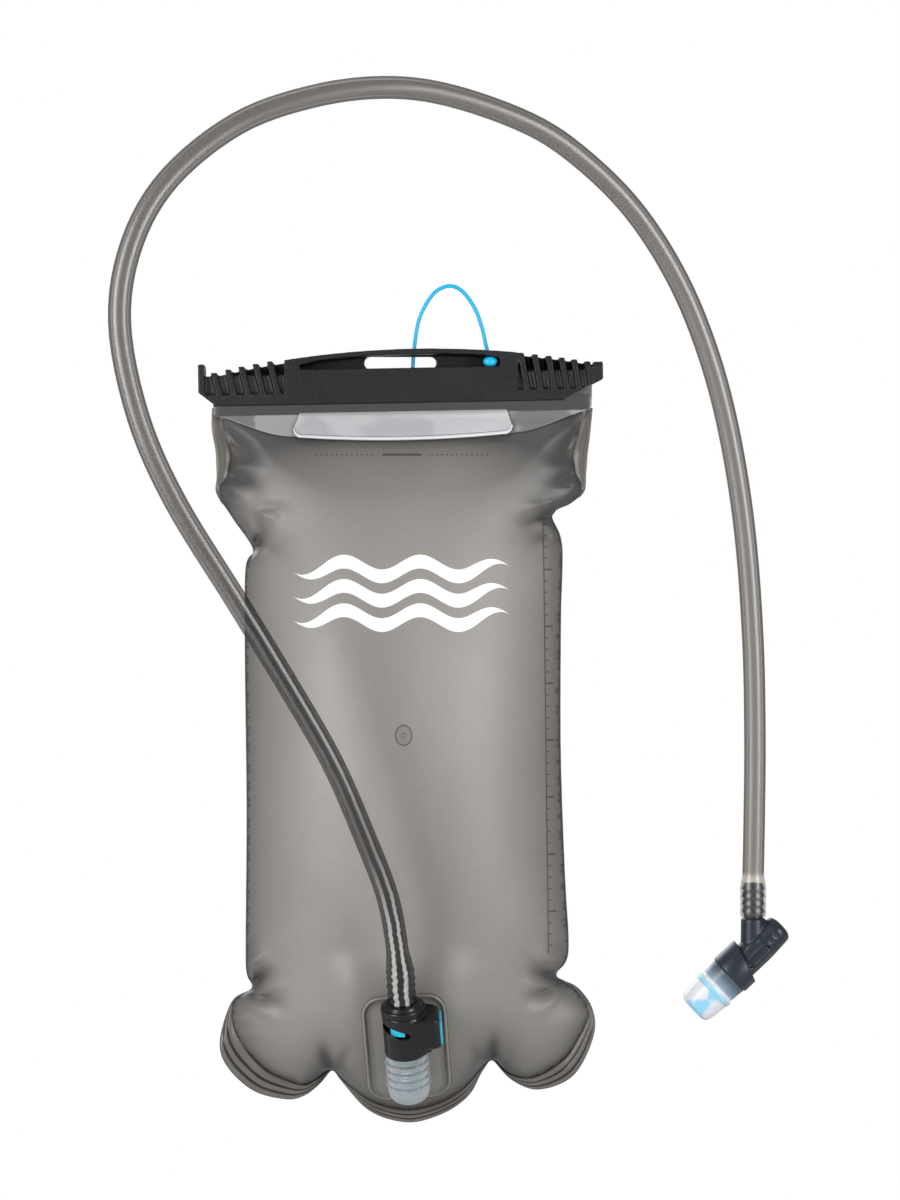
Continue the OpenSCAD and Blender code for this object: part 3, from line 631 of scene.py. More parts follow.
# Seam of the filled bag, from the top left, down, along the three lobes and up to the top right.
# Each row: x and z of the seam, its depth y, and how far the flange's free edge is from it in x, z and y.
SEAM = [
    (-82, 147, -8.3, -2.5, 0, 0), (-79.8, 137, -9.5, -4.9, 1, -0.5), (-76.4, 126.5, -11, -6.4, 0.3, -1),
    (-77.3, 117.5, -12, -4.9, -1, -1), (-81.3, 109.3, -13, -0.8, -0.6, 1.5), (-75, 98, -12, 0.5, 0.5, 5),
    (-66, 84, -9, 1, 0, 5), (-69.2, 76, -12, 0.8, 0, 5.5), (-69.4, 40, -14, 0.6, 0, 6),
    (-68.6, -30, -14, 0.6, 0, 6), (-69, -90, -14, 0.6, 0, 6), (-68.6, -104, -12.5, 1, 0, 5),
    (-66.4, -110.5, -9, 1.2, -0.3, 4.5), (-74.6, -116, -12.5, -0.8, -0.5, 2),
    (-73.8, -130, -14, -6.8, -8, -1), (-62.5, -144.5, -14, -5.5, -9.5, -1.5),
    (-50.6, -151, -14, -1.3, -8, -1.5), (-43, -153, -13.5, 0, -4.4, -1), (-37, -150, -12, 0.5, -2.5, 1),
    (-31.2, -146.5, -8, 0.5, -0.6, 4), (-25.5, -151.5, -12, 0, -1.6, 2.5), (-13.2, -160.3, -14, -1, -4, -1),
    (2.5, -164, -14, 0, -5.2, -1.5), (16.9, -160.6, -14, 1.5, -4.6, -1), (27.7, -154, -12.5, 2, -3.5, 1),
    (34.5, -146.5, -10.5, 0.5, -1.5, 3.5), (40, -142, -8, -0.3, -0.6, 4), (47, -148.2, -12, 1, -2.2, 1),
    (58, -149.6, -14, 2, -5.2, -1), (71.3, -141.5, -14, 4.5, -7, -1.5), (79.6, -129.4, -14, 5, -2, -1),
    (82.6, -121, -13.5, 1.8, 1, 1), (77.4, -111.5, -12, 0.4, 0.5, 4), (68, -105.2, -9, -1, 0, 5),
    (72.2, -98.5, -12.5, -0.6, 0, 5.5), (73.4, -89, -14, -0.6, 0, 6), (71.7, -58.5, -14, -0.6, 0, 6),
    (69.9, -5, -14, -0.6, 0, 6), (70, 52.8, -14, -0.6, 0, 6), (70.6, 86, -12.5, -0.6, 0, 5.5),
    (66.2, 99.4, -9, -1, 0, 5), (74.8, 104.7, -12, 0, 0.5, 4), (79.8, 110.6, -13, 0.8, -0.5, 1),
    (76.6, 119, -12, 4.9, -1, -1), (76, 127, -11, 6.4, 0.3, -1), (78.8, 137, -9.5, 4.9, 1, -0.5),
    (82, 147, -8.3, 2.5, 0, 0),
]
NOTCHES = [
    (-66, 84), (-66.4, -110.5), (-31.2, -146.5), (40, -142), (68, -105.2), (66.2, 99.4), (-77, 117),
    (77, 118),
]
NOTCH_REACH = 6            # how far along the seam each notch gathers film
NOTCH_GATHER = 1.1         # flat seam gathered in a notch, over its length there
CELL = 4.2                 # spacing of the film's simulated points
FINE_CELL = 2.1            # the same near a notch
FINE_REACH = 24            # how near that is
FLAT_HALF_W = 82.5         # the front film laid flat: a rectangle with rounded lower corners
FLAT_LOW = -180
FLAT_CORNER = 28
BACK_EASE = 1.03           # the back film's extra width and length over the filled outline
FRONT_DEPTH = 32
BACK_DEPTH = 13
FILM_THICK = 0.45
NECK_Z = 100               # the bag starts to close towards the bar above here
FLAP_TOP_Z = 150
FLAP_LOW_Z = 132
EDGE_DEPTH = -9.5          # depth of the neck beside the film's edge

seam_rows = spline(SEAM, 6)


def flat_outline(shares):
    """Points round the laid-flat front film, from its top left to its top right, at shares of that run."""
    side = SEAM[0][1] - FLAT_LOW - FLAT_CORNER
    arc = FLAT_CORNER * math.pi / 2
    bottom = 2 * (FLAT_HALF_W - FLAT_CORNER)
    total = 2 * side + 2 * arc + bottom
    points = []
    for s in shares * total:
        flip = s > total / 2
        s = total - s if flip else s
        if s < side:
            x, z = -FLAT_HALF_W, SEAM[0][1] - s
        elif s < side + arc:
            turn = (s - side) / FLAT_CORNER
            x = -FLAT_HALF_W + FLAT_CORNER * (1 - math.cos(turn))
            z = FLAT_LOW + FLAT_CORNER * (1 - math.sin(turn))
        else:
            x, z = -FLAT_HALF_W + FLAT_CORNER + (s - side - arc), FLAT_LOW
        points.append((-x if flip else x, z))
    return np.array(points)


def inside(points, loop):
    """Which points of a plane lie inside a closed loop."""
    hit = np.zeros(len(points), bool)
    for (x0, z0), (x1, z1) in zip(loop, np.roll(loop, -1, axis=0)):
        crosses = (z0 > points[:, 1]) != (z1 > points[:, 1])
        with np.errstate(divide="ignore", invalid="ignore"):
            at = x0 + (points[:, 1] - z0) * (x1 - x0) / (z1 - z0)
        hit ^= crosses & (points[:, 0] < at)
    return hit


def hexagons(low, high, cell):
    """A field of points in rows, each half a step along from the last."""
    points = []
    for i, z in enumerate(np.arange(low[1], high[1], cell * math.sqrt(3) / 2)):
        points += [(x + (i % 2) * cell / 2, z) for x in np.arange(low[0], high[0], cell)]
    return np.array(points)


def nearest(points, marks):
    """Distance from each point to the nearest mark."""
    return np.min(np.linalg.norm(points[:, None] - np.array(marks)[None], axis=2), axis=1)


def sheet(flat_loop, seam_loop, depth, way):
    """One film: triangles over its flat shape, with its points moved to a first guess of the filled shape.
    way is -1 for the front film, 1 for the back one."""
    low, high = flat_loop.min(0), flat_loop.max(0)
    n = len(flat_loop)
    tips = [flat_loop[np.argmin(np.linalg.norm(seam_loop[:, :2] - tip, axis=1))] for tip in NOTCHES]
    coarse = hexagons(low, high, CELL)
    fine = hexagons(low, high, FINE_CELL)
    coarse = coarse[nearest(coarse, tips) > FINE_REACH]
    fine = fine[nearest(fine, tips) < FINE_REACH - CELL * 0.4]
    field = np.vstack([coarse, fine])
    field = field[inside(field, flat_loop)]
    field = field[nearest(field, flat_loop) > FINE_CELL * 0.7]
    flat = np.vstack([flat_loop, field])
    corners, sides, triangles, *_ = delaunay_2d_cdt([Vector(p) for p in flat], [], [list(range(n))], 1, 1e-5)
    flat = np.array([tuple(v) for v in corners])
    faces = [tuple(f) for f in triangles]
    edges = np.array([tuple(e) for e in sides])
    # first guess: harmonic between the seam's points, with a dome on top
    shrink = np.ptp(seam_loop[:, 0]) / np.ptp(flat_loop[:, 0])
    height = np.interp(flat[:, 1], [low[1], high[1]], [-160, 147])
    guess = np.column_stack([flat[:, 0] * shrink, np.full(len(flat), seam_loop[:, 2].mean()), height])
    guess[:n] = seam_loop[:, [0, 2, 1]]
    degree = np.bincount(edges.ravel(), minlength=len(flat))[:, None]
    for _ in range(500):
        total = np.zeros_like(guess)
        np.add.at(total, edges[:, 0], guess[edges[:, 1]])
        np.add.at(total, edges[:, 1], guess[edges[:, 0]])
        guess[n:] = (total / degree)[n:]
    across = 1 - (flat[:, 0] / high[0]) ** 2
    up = (flat[:, 1] - low[1]) / (high[1] - low[1])
    dome = np.clip(across * np.clip(4 * up * (1 - up), 0, 1) ** 0.8, 0, 1) ** 0.6
    dome[:n] = 0
    guess[:, 1] += way * depth * dome
    return flat, guess, faces


def wind(points, faces, way):
    """Turns each face so that it looks out of the bag."""
    turned = []
    for f in faces:
        a, b, c = (points[i] for i in f)
        normal = np.cross(b - a, c - a)
        turned.append(f if normal[1] * way > 0 else f[::-1])
    return turned


def filled_films():
    """Both films in one object, blown up by cloth simulation from their flat shapes and pinned at the seam,
    with the number of points in the front one."""
    top = [(x, SEAM[0][1], SEAM[0][2], 0, 0, 0) for x in np.linspace(SEAM[-1][0], SEAM[0][0], 40)[1:-1]]
    seam = even(seam_rows, FINE_CELL * 1.15, 2)
    loop = np.vstack([seam, top])[:, :3]
    steps = np.linalg.norm(np.diff(seam[:, :2], axis=0), axis=1)
    middles = (seam[1:, :2] + seam[:-1, :2]) / 2
    steps *= 1 + NOTCH_GATHER * np.exp(-((nearest(middles, NOTCHES) / NOTCH_REACH) ** 2))
    shares = np.concatenate([[0], np.cumsum(steps)]) / steps.sum()
    flat_side = flat_outline(shares)
    flat_top = [(row[0] * FLAT_HALF_W / SEAM[-1][0], row[1]) for row in top]
    flat_front = np.vstack([flat_side, flat_top])
    middle = np.array([0, -10])
    flat_back = middle + (loop[:, :2] - middle) * BACK_EASE
    front = sheet(flat_front, loop, FRONT_DEPTH, -1)
    back = sheet(flat_back, loop, BACK_DEPTH, 1)
    split = len(front[0])
    points = np.vstack([front[1], back[1]])
    flats = np.vstack([front[0], back[0]])
    faces = wind(points, front[2], -1) + [tuple(i + split for i in f) for f in wind(back[1], back[2], 1)]
    films = mesh_object("films", points, faces)
    pinned = list(range(len(loop))) + [split + i for i in range(len(loop))]
    films.vertex_groups.new(name="seam").add(pinned, 1.0, "REPLACE")
    films.shape_key_add(name="filled")
    laid_flat = films.shape_key_add(name="laid_flat")
    for i, (x, z) in enumerate(flats * MM):
        laid_flat.data[i].co = (x, 0 if i < split else 0.1, z)
    simulate(films)
    return films, split


CLOTH = {
    "vertex_group_mass": "seam", "pin_stiffness": 50, "quality": 8, "mass": 0.15, "air_damping": 2,
    "tension_stiffness": 120, "compression_stiffness": 120, "shear_stiffness": 30, "bending_stiffness": 0.3,
    "tension_damping": 10, "compression_damping": 10, "shear_damping": 5, "bending_damping": 0.5,
    "use_pressure": True, "uniform_pressure_force": 25,
}


def simulate(films, frames=30, grow=20):
    """Cloth with air pressure; the spring lengths come from the laid-flat shape.
    The films are simulated at grow times their size, where the solver's forces are in proportion."""
    for key in films.data.shape_keys.key_blocks:
        co = np.empty(len(films.data.vertices) * 3)
        key.data.foreach_get("co", co)
        key.data.foreach_set("co", co * grow)
    cloth = films.modifiers.new("Cloth", "CLOTH")
    for key, value in CLOTH.items():
        setattr(cloth.settings, key, value)
    cloth.settings.rest_shape_key = films.data.shape_keys.key_blocks["laid_flat"]
    cloth.settings.effector_weights.gravity = 0
    cloth.collision_settings.use_collision = False
    cloth.point_cache.frame_start = 1
    cloth.point_cache.frame_end = frames
    scene = bpy.context.scene
    for number in range(1, frames + 1):
        scene.frame_set(number)
    evaluated = films.evaluated_get(bpy.context.evaluated_depsgraph_get())
    co = np.empty(len(films.data.vertices) * 3)
    evaluated.data.vertices.foreach_get("co", co)
    films.modifiers.remove(cloth)
    films.shape_key_clear()
    films.data.vertices.foreach_set("co", co / grow)
    scene.frame_set(1)


PORT_AT = np.array((1, -52, -115))
VALVE_AT = Matrix.Translation(Vector((154.9, -16, -94)) * MM)
PORT = Matrix.Translation(Vector(PORT_AT) * MM) @ (
    Matrix.Rotation(math.radians(-4), 4, "Y") @ Matrix.Rotation(math.radians(20), 4, "X")
)
VALVE = VALVE_AT @ Matrix.Rotation(math.radians(-133.6), 4, "Y")
PATCH_FACE = 10.3          # the film's outer face behind the port patch, in the port's own frame


def to_frame(points, matrix):
    """Points in millimetres of the shared frame, written in a part's own frame."""
    back = np.array(matrix.inverted())
    return points @ back[:3, :3].T + back[:3, 3] / MM


def from_frame(points, matrix):
    there = np.array(matrix)
    return points @ there[:3, :3].T + there[:3, 3] / MM


def settle(points, split):
    """Fits the blown-up films to what they touch: the flat back, the closed neck and the port patch."""
    front, back = points[:split].copy(), points[split:].copy()
    rest, give = -3, 3     # the back presses on the wearer: past rest it bulges no more than give
    over = np.maximum(back[:, 1] - rest, 0)
    back[:, 1] = np.where(back[:, 1] > rest, rest + give * (1 - np.exp(-over / give)), back[:, 1])
    # the neck closes towards the bar
    limit = SEAM[0][2] - 0.66 * np.maximum(SEAM[0][1] - front[:, 2], 0) - 0.5
    sunk = smooth((front[:, 2] - NECK_Z) / 25)
    front[:, 1] = np.where(front[:, 1] < limit, front[:, 1] * (1 - sunk) + limit * sunk, front[:, 1])
    # the patch's back face is flat and so is the film welded to it
    own = to_frame(front, PORT)
    outside = np.hypot(np.maximum(abs(own[:, 0]) - 18, 0), np.maximum(abs(own[:, 2] + 22) - 26, 0))
    hold = (1 - smooth(outside / 20)) * smooth(nearest(front[:, [0, 2]], seam_rows[:, :2]) / 9)
    own[:, 1] = own[:, 1] * (1 - hold) + PATCH_FACE * hold
    return np.vstack([from_frame(own, PORT), back])


def take(obj, name, keep):
    """A new object made of the faces of obj whose points all pass keep."""
    co = positions(obj)
    faces = [f for f in (tuple(p.vertices) for p in obj.data.polygons) if all(keep[i] for i in f)]
    used = sorted({i for f in faces for i in f})
    order = {old: new for new, old in enumerate(used)}
    return mesh_object(name, co[used], [tuple(order[i] for i in f) for f in faces])


# Folds pressed into the front film at its notches: start x and z, end x and z, half width and depth
FOLDS = [
    (-66.5, 84, -57, 94, 3.2, 3.0), (-62, 99, -52, 93, 3.5, -2.0), (-66, 86, -50, 82, 4, 1.6),
    (67, 101, 49, 95, 3.4, 3.2), (70, 92, 54, 101, 3.5, -1.8), (66, 97, 52, 84, 3.6, 1.4),
    (-67, -110, -53, -99, 3.4, 2.8), (-68, -100, -56, -92, 3.4, -1.6), (-66, -113, -48, -117, 4, 1.6),
    (69, -105, 54, -97, 3.4, 2.8), (70, -97, 58, -88, 3.2, -1.4), (68, -108, 50, -112, 4, 1.6),
    (-31, -146, -34, -128, 3.4, 2.2), (-29, -146, -20, -130, 3.4, 1.4), (40, -142, 42, -124, 3.2, 2.2),
    (39, -142, 30, -128, 3.2, 1.4), (-77, 117, -60, 108, 4, 1.8), (77, 118, 60, 112, 4, 1.8),
    (-78, 134, -62, 118, 5, 1.8), (78, 134, 62, 120, 5, 1.8),
]


def fold_depth(plane):
    """How far the folds press the front film in at each x and z."""
    total = np.zeros(len(plane))
    for x0, z0, x1, z1, half_w, depth in FOLDS:
        start = np.array((x0, z0), float)
        way = np.array((x1, z1)) - start
        reach = np.linalg.norm(way)
        way /= reach
        off = plane - start
        along = (off @ way) / reach
        bend = 1.4 * np.sin(np.clip(along, 0, 1) * 3)
        across = (off @ np.array((-way[1], way[0])) - bend) / (half_w * (0.55 + 0.6 * np.clip(along, 0, 1)))
        shown = smooth((along + 0.25) / 0.3) * smooth((1 - along) / 0.75)
        valley = np.exp(-np.abs(across) ** 1.35)
        shoulders = 0.42 * np.exp(-((abs(across) - 1.9) ** 2))
        total += 1.3 * depth * shown * (valley - shoulders)
    return total


def shade(points, is_front):
    """Painted shade on the film: darkest near the seam and the notches, and on the front film also in the
    pressed folds, under the flap, over its upper part and in its upper corners.
    """
    seam = even(seam_rows, 3, 2)
    plane = points[:, [0, 2]]
    low = smooth((-95 - points[:, 2]) / 30)
    edge = np.exp(-nearest(plane, seam[:, :2]) / (9 + 4 * low)) * (0.68 + 0.1 * low) + 0.05 * low
    notch = 0.14 * np.exp(-nearest(plane, NOTCHES) / 9)
    top = 0.6 * np.exp(-np.abs(points[:, 2] - FLAP_LOW_Z) / 9)
    top += smooth((points[:, 2] - 75) / 50) * (0.24 + 0.24 * smooth((np.abs(points[:, 0]) - 15) / 45))
    corner = 0.3 * smooth((np.abs(points[:, 0]) - 68) / 9) * smooth((points[:, 2] - NECK_Z) / 14)
    pressed = np.maximum(fold_depth(plane), 0)
    return np.clip(edge + notch + (top + corner + 0.2 * pressed) * is_front, 0, 1)


films, split = filled_films()
place(films, settle(positions(films), split))
on_front = np.arange(len(films.data.vertices)) < split
front_film = take(films, "front_film", on_front)
back_film = take(films, "back_film", ~on_front)
bpy.data.objects.remove(films)
for film, skin, node in ((front_film, FILM_FRONT, "front_panel"), (back_film, FILM, "back_panel")):
    is_front = film is front_film
    bake(subdivide(film))
    p = positions(film)
    if is_front:
        away = smooth(nearest(p[:, [0, 2]], seam_rows[:, :2]) / 3.5)
        p[:, 1] += fold_depth(p[:, [0, 2]]) * away
        place(film, p)
    bake(thicken(film, FILM_THICK, -1))
    # painted shade on each film, stored for its material
    paint(film, "painted_shade_and_outline", shade(positions(film), is_front))
    finish(film, "reservoir", skin, node)

film_tree = BVHTree.FromPolygons(
    positions(front_film).tolist(), [tuple(face.vertices) for face in front_film.data.polygons]
)


def film_depth(x, z, fallback):
    """Depth of the front film's face at a place, or the fallback off its edge."""
    hit = film_tree.ray_cast(Vector((x, -200, z)), Vector((0, 1, 0)))[0]
    return hit.y if hit else fallback


def weld_disc():
    """The small oval weld in the middle, where the two films are tacked: a sunk disc inside a raised ring."""
    sides = 48
    sunk, middle, fallback = -0.3, (1.3, 3.5), -48
    rings = [(0.9, sunk), (1.8, sunk), (2.7, sunk), (3.4, -0.36), (3.75, -0.5), (3.95, -0.4), (4.2, 0.15)]
    points = []
    for radius, lift in rings:
        for j in range(sides):
            a = j * 2 * math.pi / sides
            x, z = middle[0] + radius * math.cos(a) * 0.9, middle[1] + radius * math.sin(a) * 1.12
            points.append((x, film_depth(x, z, fallback) + lift, z))
    centre = len(points)
    points.append((middle[0], film_depth(*middle, fallback) + sunk, middle[1]))
    faces = [tuple(reversed(f)) for f in grid_faces(len(rings), sides, 0, True)]
    faces += [(centre, (j + 1) % sides, j) for j in range(sides)]
    disc = mesh_object("weld_disc", points, faces)
    paint(disc, "painted_shade_and_outline", [0.8 if i // sides in (4, 5) else 0.2 for i in range(len(points))])
    finish(bake(subdivide(thicken(disc, 0.25, -1))), "reservoir", FILM, "centre_weld_disc")


weld_disc()


def flange():
    """The doubled film outside the seam: a ribbon with two pressed weld lines, curled at the lobes."""
    rows = even(seam_rows, 1.5, 2)
    shares = np.linspace(0, 1, 13)
    ridges = sum(0.34 * np.exp(-(((shares - line) / 0.07) ** 2)) for line in WELD_LINES)
    run = lengths(rows[:, :2])
    centre = rows[:, [0, 2, 1]]
    out = rows[:, [3, 5, 4]]
    along = np.gradient(centre, axis=0)
    up = np.cross(along, out)
    up /= np.linalg.norm(up, axis=1)[:, None] + 1e-9
    up *= np.where(up[:, 1:2] > 0, -1, 1)
    wide = np.linalg.norm(out, axis=1)
    points, across, lined = [], [], []
    for i in range(len(rows)):
        lobe = smooth((-112 - rows[i, 1]) / 6)
        for s, ridge in zip(shares, ridges):
            curl = 1.1 * math.sin(s * math.pi) * min(wide[i] / 9, 1)
            wave = 0.35 * s * math.sin(run[i] * 0.42) * smooth((wide[i] - 2) / 5)
            points.append(centre[i] + out[i] * (s * 1.04 - 0.06) + up[i] * (curl + wave - ridge * lobe))
            across.append(s)
            lined.append(0.25 + 0.75 * lobe)
    obj = mesh_object("weld_flange", points, grid_faces(len(rows), len(shares)))
    paint(obj, "across", across)
    paint(obj, "lined", lined)
    finish(bake(subdivide(thicken(obj, 0.7))), "reservoir", WELD, "perimeter_weld")


flange()


# ---- The slide-seal top ------------------------------------------------------------------------


def hanging(name, top_z, low_z, xs, ahead, rows):
    """A strip that hangs down from the bar in front of the film, ahead of it by so much.
    top_z and low_z give the strip's edges at each x."""
    columns = []
    for x in xs:
        zs = np.linspace(top_z(x), low_z(x), rows)
        ys = [min(-12.9 - 0.02 * (FLAP_TOP_Z - z), film_depth(x, z, EDGE_DEPTH) - 1.0) - ahead for z in zs]
        columns.append([(x, y, z) for y, z in zip(ys, zs)])
    grid = np.array(columns)
    depth = grid[:, :, 1].copy()
    for _ in range(6):
        depth[1:-1] = (depth[:-2] + depth[1:-1] * 2 + depth[2:]) / 4
        depth[:, 1:-1] = (depth[:, :-2] + depth[:, 1:-1] * 2 + depth[:, 2:]) / 4
    grid[:, :, 1] = np.minimum(depth, grid[:, :, 1] + 0.3)
    return thicken(mesh_object(name, grid.reshape(-1, 3), grid_faces(len(xs), rows)), 0.5)


TILT = 0.018               # the bar and what hangs from it sit a little higher on the right
STRIP_SHOWS = 5.6          # how far the dark strip reaches below the flap's upper edge


def flap_low(x):
    """The flap's lower edge: a shallow arc with its ends swept up."""
    return FLAP_LOW_Z + 0.001 * x * x + TILT * x + 5.5 * smooth((abs(x) - 52) / 32)


def under_bar(x):
    """The flap's upper edge, hidden by the bar."""
    return FLAP_TOP_Z + TILT * x


flap = hanging("closure_film", under_bar, flap_low, np.linspace(-83.5, 83.5, 130), 0, 14)
finish(bake(subdivide(flap)), "reservoir", FLAP, "closure_flap")


def tab_plate():
    """Pale tab on the flap, a little wider below, with round lower corners and a rolled lower rim."""
    columns, rows = 120, 22
    points = []
    for i in range(columns):
        u = 2 * i / (columns - 1) - 1
        for j in range(rows):
            v = j / (rows - 1)
            x = 0.4 + u * (45.8 + 2.6 * v)
            low, high = flap_low(x) - 0.3, FLAP_TOP_Z - 5 + TILT * x
            lift = 3.4 * (1 - math.sqrt(max(1 - max((abs(u) * 48.4 - 45) / 3.4, 0) ** 2, 0)))
            z = high + (low + lift - high) * v
            y = min(-13.9, film_depth(x, z, EDGE_DEPTH) - 2.1) - 0.5 * math.exp(-(((v - 0.93) / 0.05) ** 2))
            points.append((x, y, z))
    grid = np.array(points).reshape(columns, rows, 3)
    for _ in range(8):
        grid[1:-1, :, 1] = (grid[:-2, :, 1] + 2 * grid[1:-1, :, 1] + grid[2:, :, 1]) / 4
    tab = mesh_object("tab_plate", grid.reshape(-1, 3), grid_faces(columns, rows))
    paint(tab, "down", np.tile(np.linspace(0, 1, rows), columns))
    finish(bake(round_edges(thicken(tab, 0.8), 0.25)), "reservoir", TAB_WHITE, "pull_tab")


tab_plate()
strip = hanging(
    "fold_strip", lambda x: under_bar(x) + 1, lambda x: under_bar(x) - STRIP_SHOWS,
    np.linspace(-83, 83, 60), 0.9, 7,
)
finish(bake(round_edges(strip, 0.15)), "reservoir", STRIP_BLACK, "flap_stiffener")

ARCH_R = 422
ARCH_TOP = 172.6
BAR_LOW = 149
BAR_FACE = -15
RIBS = (-81.8, -75.2, -69, -62.4, -55.9, 54.6, 60.6, 66.6, 72.2, 77.6, 83.2)


def arch(x, lower=0):
    """Height of the bar's arched top at x."""
    return ARCH_TOP - lower - ARCH_R + math.sqrt(ARCH_R**2 - (x - 6) ** 2)


def under_arch(x0, x1, low, lower=0):
    """Outline from low up to the arch between two places along the bar."""
    return [(x0, low), (x1, low)] + [(x, arch(x, lower)) for x in np.linspace(x1, x0, 60)]


def bar_parts():
    """The slide bar's overlapping solids."""
    slot_low, left_end, slot_left, slot_right, right_end = 164.2, -52, -45.5, 43.5, 51
    middle = np.linspace(left_end, right_end, 60)
    roof = [(x, arch(x)) for x in middle[::-1]]
    roof += [(x, arch(x, 2.3 + 0.9 * smooth((abs(x) - 36) / 9))) for x in middle]
    left, right = (
        [(a, slot_low - 1), (b, slot_low - 1)] + [(x, arch(x)) for x in np.linspace(b, a, 5)]
        for a, b in ((left_end, slot_left), (slot_right, right_end))
    )
    parts = [
        slab(rounded(left_end, BAR_LOW, right_end, slot_low, 0.5), BAR_FACE, -12.9),
        slab(left, BAR_FACE, -12.9),
        slab(right, BAR_FACE, -12.9),
        slab(roof, BAR_FACE, -3.6),
        slab(under_arch(-89, 89, BAR_LOW, 0.6), -5.5, -3.4),
        slab(rounded(-88.6, BAR_LOW, 88, 162, 1), -13.2, -3.4),
        slab(rounded(-89, BAR_LOW - 0.4, 88.6, 153.7, 1.5), BAR_FACE, -12),
        slab(rounded(-15.6, BAR_LOW - 0.6, -3.4, 167.4, 1.8), -90.2, -87.4, "YZ"),
        slab(rounded(BAR_FACE, 156, -3.4, arch(86) + 0.6, 2), 84.5, 88.8, "YZ"),
    ]
    for x in RIBS:
        rib, faces = slab(rounded(BAR_FACE, 151, -3.6, arch(x) + 0.3, 2.2), x - 1.35, x + 1.35, "YZ")
        lean = -0.24 if x < 0 else -0.16
        parts.append(([(a + lean * (c - 157), b, c) for a, b, c in rib], faces))
    return parts


bar = joined("moulded_bar", bar_parts(), 0.5, 2)
pivot = Matrix.Translation((0, 0, 0.161))
bar.data.transform(pivot @ Matrix.Rotation(-TILT, 4, "Y") @ pivot.inverted())
# the rail's channel, the film's way into it, the hand hole and the slanted ends
for tool in (
    tube([(-83, -8.8, 156.8), (95, -8.8, 156.8)], [3.3, 3.3], 32),
    slab(rounded(-10.6, 148, -7, 157, 0.2, 1), -83, 95, "YZ"),
    slab(rounded(-17, 164.2, 15, 169.8, 2.7), -6.5, -2),
    slab([(71.5, 146), (92, 146), (92, 161.4), (71.5, 150.9)], -20, 2),
    slab([(-92, 146), (-83.5, 146), (-83.5, 148.2), (-92, 154.6)], -20, 2),
):
    cut(bar, *tool)
shape(bar, "DECIMATE", ratio=0.55)
finish(bake(bar), "slide_bar", BAR_BLACK, "slide_bar")

bead = mesh_object("oval_bead", *revolve([(0.02, -1)] + [
    (math.sin(a), -math.cos(a)) for a in np.linspace(0.15, math.pi - 0.15, 15)] + [(0.02, 1)], 40))
bead.data.transform(
    Matrix.Translation(Vector((38.9, -12.6, 167.1)) * MM) @ Matrix.Rotation(math.radians(90), 4, "X")
    @ Matrix.Diagonal((3.1, 2.3, 2.5, 1))
)
finish(bead, "slide_bar", CORD_BLUE, "tether_bead")


# CAD nodes that stay in view or inside: material and the width their edges are rounded by
for name, material, width in (
    ("top_rail", STRIP_BLACK, 0.2), ("top_fold", FLAP, 0.1), ("tether_anchor", CORD_BLUE, 0.3),
    ("latch_spring", STEEL, 0.05), ("shutoff_poppet", CLEAR, 0.2), ("poppet_gasket", SEAL, 0.1),
    ("poppet_spring", STEEL, 0.05), ("plug_body", PORT_BLACK, 0.25), ("plug_o_ring", SEAL, 0.1),
    ("shutoff_spool", STRIP_BLACK, 0.2), ("spool_o_ring", SEAL, 0.1), ("bite_core", CORE_BLUE, 0.2),
):
    node = bpy.data.objects[name]
    shape(node, "WELD", merge_threshold=0.01 * MM)
    shape(round_edges(node, width), "WEIGHTED_NORMAL", keep_sharp=True)
    node.modifiers["Bevel"].angle_limit = math.radians(35)
    node.modifiers["Bevel"].harden_normals = True
    node.data.materials.clear()
    node.data.materials.append(material)


# ---- The port ----------------------------------------------------------------------------------


def ear(x_reach, low, high, inset):
    """One layer of the housing's ear: straight in front, round behind."""
    tip = x_reach - inset
    outline = [(-2, 0), (1, -9.1 + inset), (tip - 2, -8.5 + inset), (tip - 0.6, -7.9 + inset)]
    outline += [(tip, -6.6), (tip, 3)]
    outline += [(tip - 6 + 6 * math.cos(a), 3 + (6 - inset) * math.sin(a)) for a in np.linspace(0.2, 1.5, 7)]
    outline += [(2, 9 - inset), (-2, 8)]
    return slab(outline, low, high, "XY")


housing = joined(
    "port_housing",
    [
        revolve([(0, -19.8), (8.7, -19.8), (9.25, -19.3), (9.25, -0.5), (8.9, -0.05), (0, -0.05)], 72),
        ear(15.3, -14.4, -1.6, 0), ear(15.3, -15.2, -1.1, 0.7), ear(12, -16.8, -9, 0.8),
        ear(10, -18.2, -9, 1),
    ],
    0.3, 3,
)
# the bore, the slanted slit, the button's pocket and the room the latch needs to slide
cut(housing, *revolve([(0, -21), (7.1, -21), (7.1, -11.5), (6.2, -11.5), (6.2, 1), (0, 1)], 64))
slit = [
    (-14, -2.6), (-7, -3.7), (-2, -5), (1.6, -6.4), (2.5, -7.9), (1.4, -9.1), (-1, -9), (-5, -7.7),
    (-9.6, -5.6),
]
cut(housing, *slab(spline(slit, 4), -12, 2))
cut(housing, *slab(rounded(12.4, -14, 17, -3.4, 0.6), -6.3, 6.3))
cut(housing, *revolve([(5.9, -9), (9.05, -9), (9.05, -4), (5.9, -4)], 64))
housing.data.transform(PORT)
finish(housing, "reservoir", PORT_BLACK, "connector_housing")


def latch_lip():
    """The latch plate's rim that shows through the slit, and the button on the right."""
    turn = np.linspace(3.85, 4.75, 24)
    outline = [(r * math.cos(a), r * math.sin(a)) for r, run in ((7.9, turn), (6.4, turn[::-1])) for a in run]
    lip = joined(
        "latch_plate",
        [slab(outline, -8.4, -4.6, "XY"), slab(rounded(14.4, -13.7, 16.2, -3.7, 0.5), -5.9, 5.9)],
        0.25, 2,
    )
    lip.data.transform(PORT)
    finish(lip, "release_button", LATCH_BLUE, "release_latch")


latch_lip()


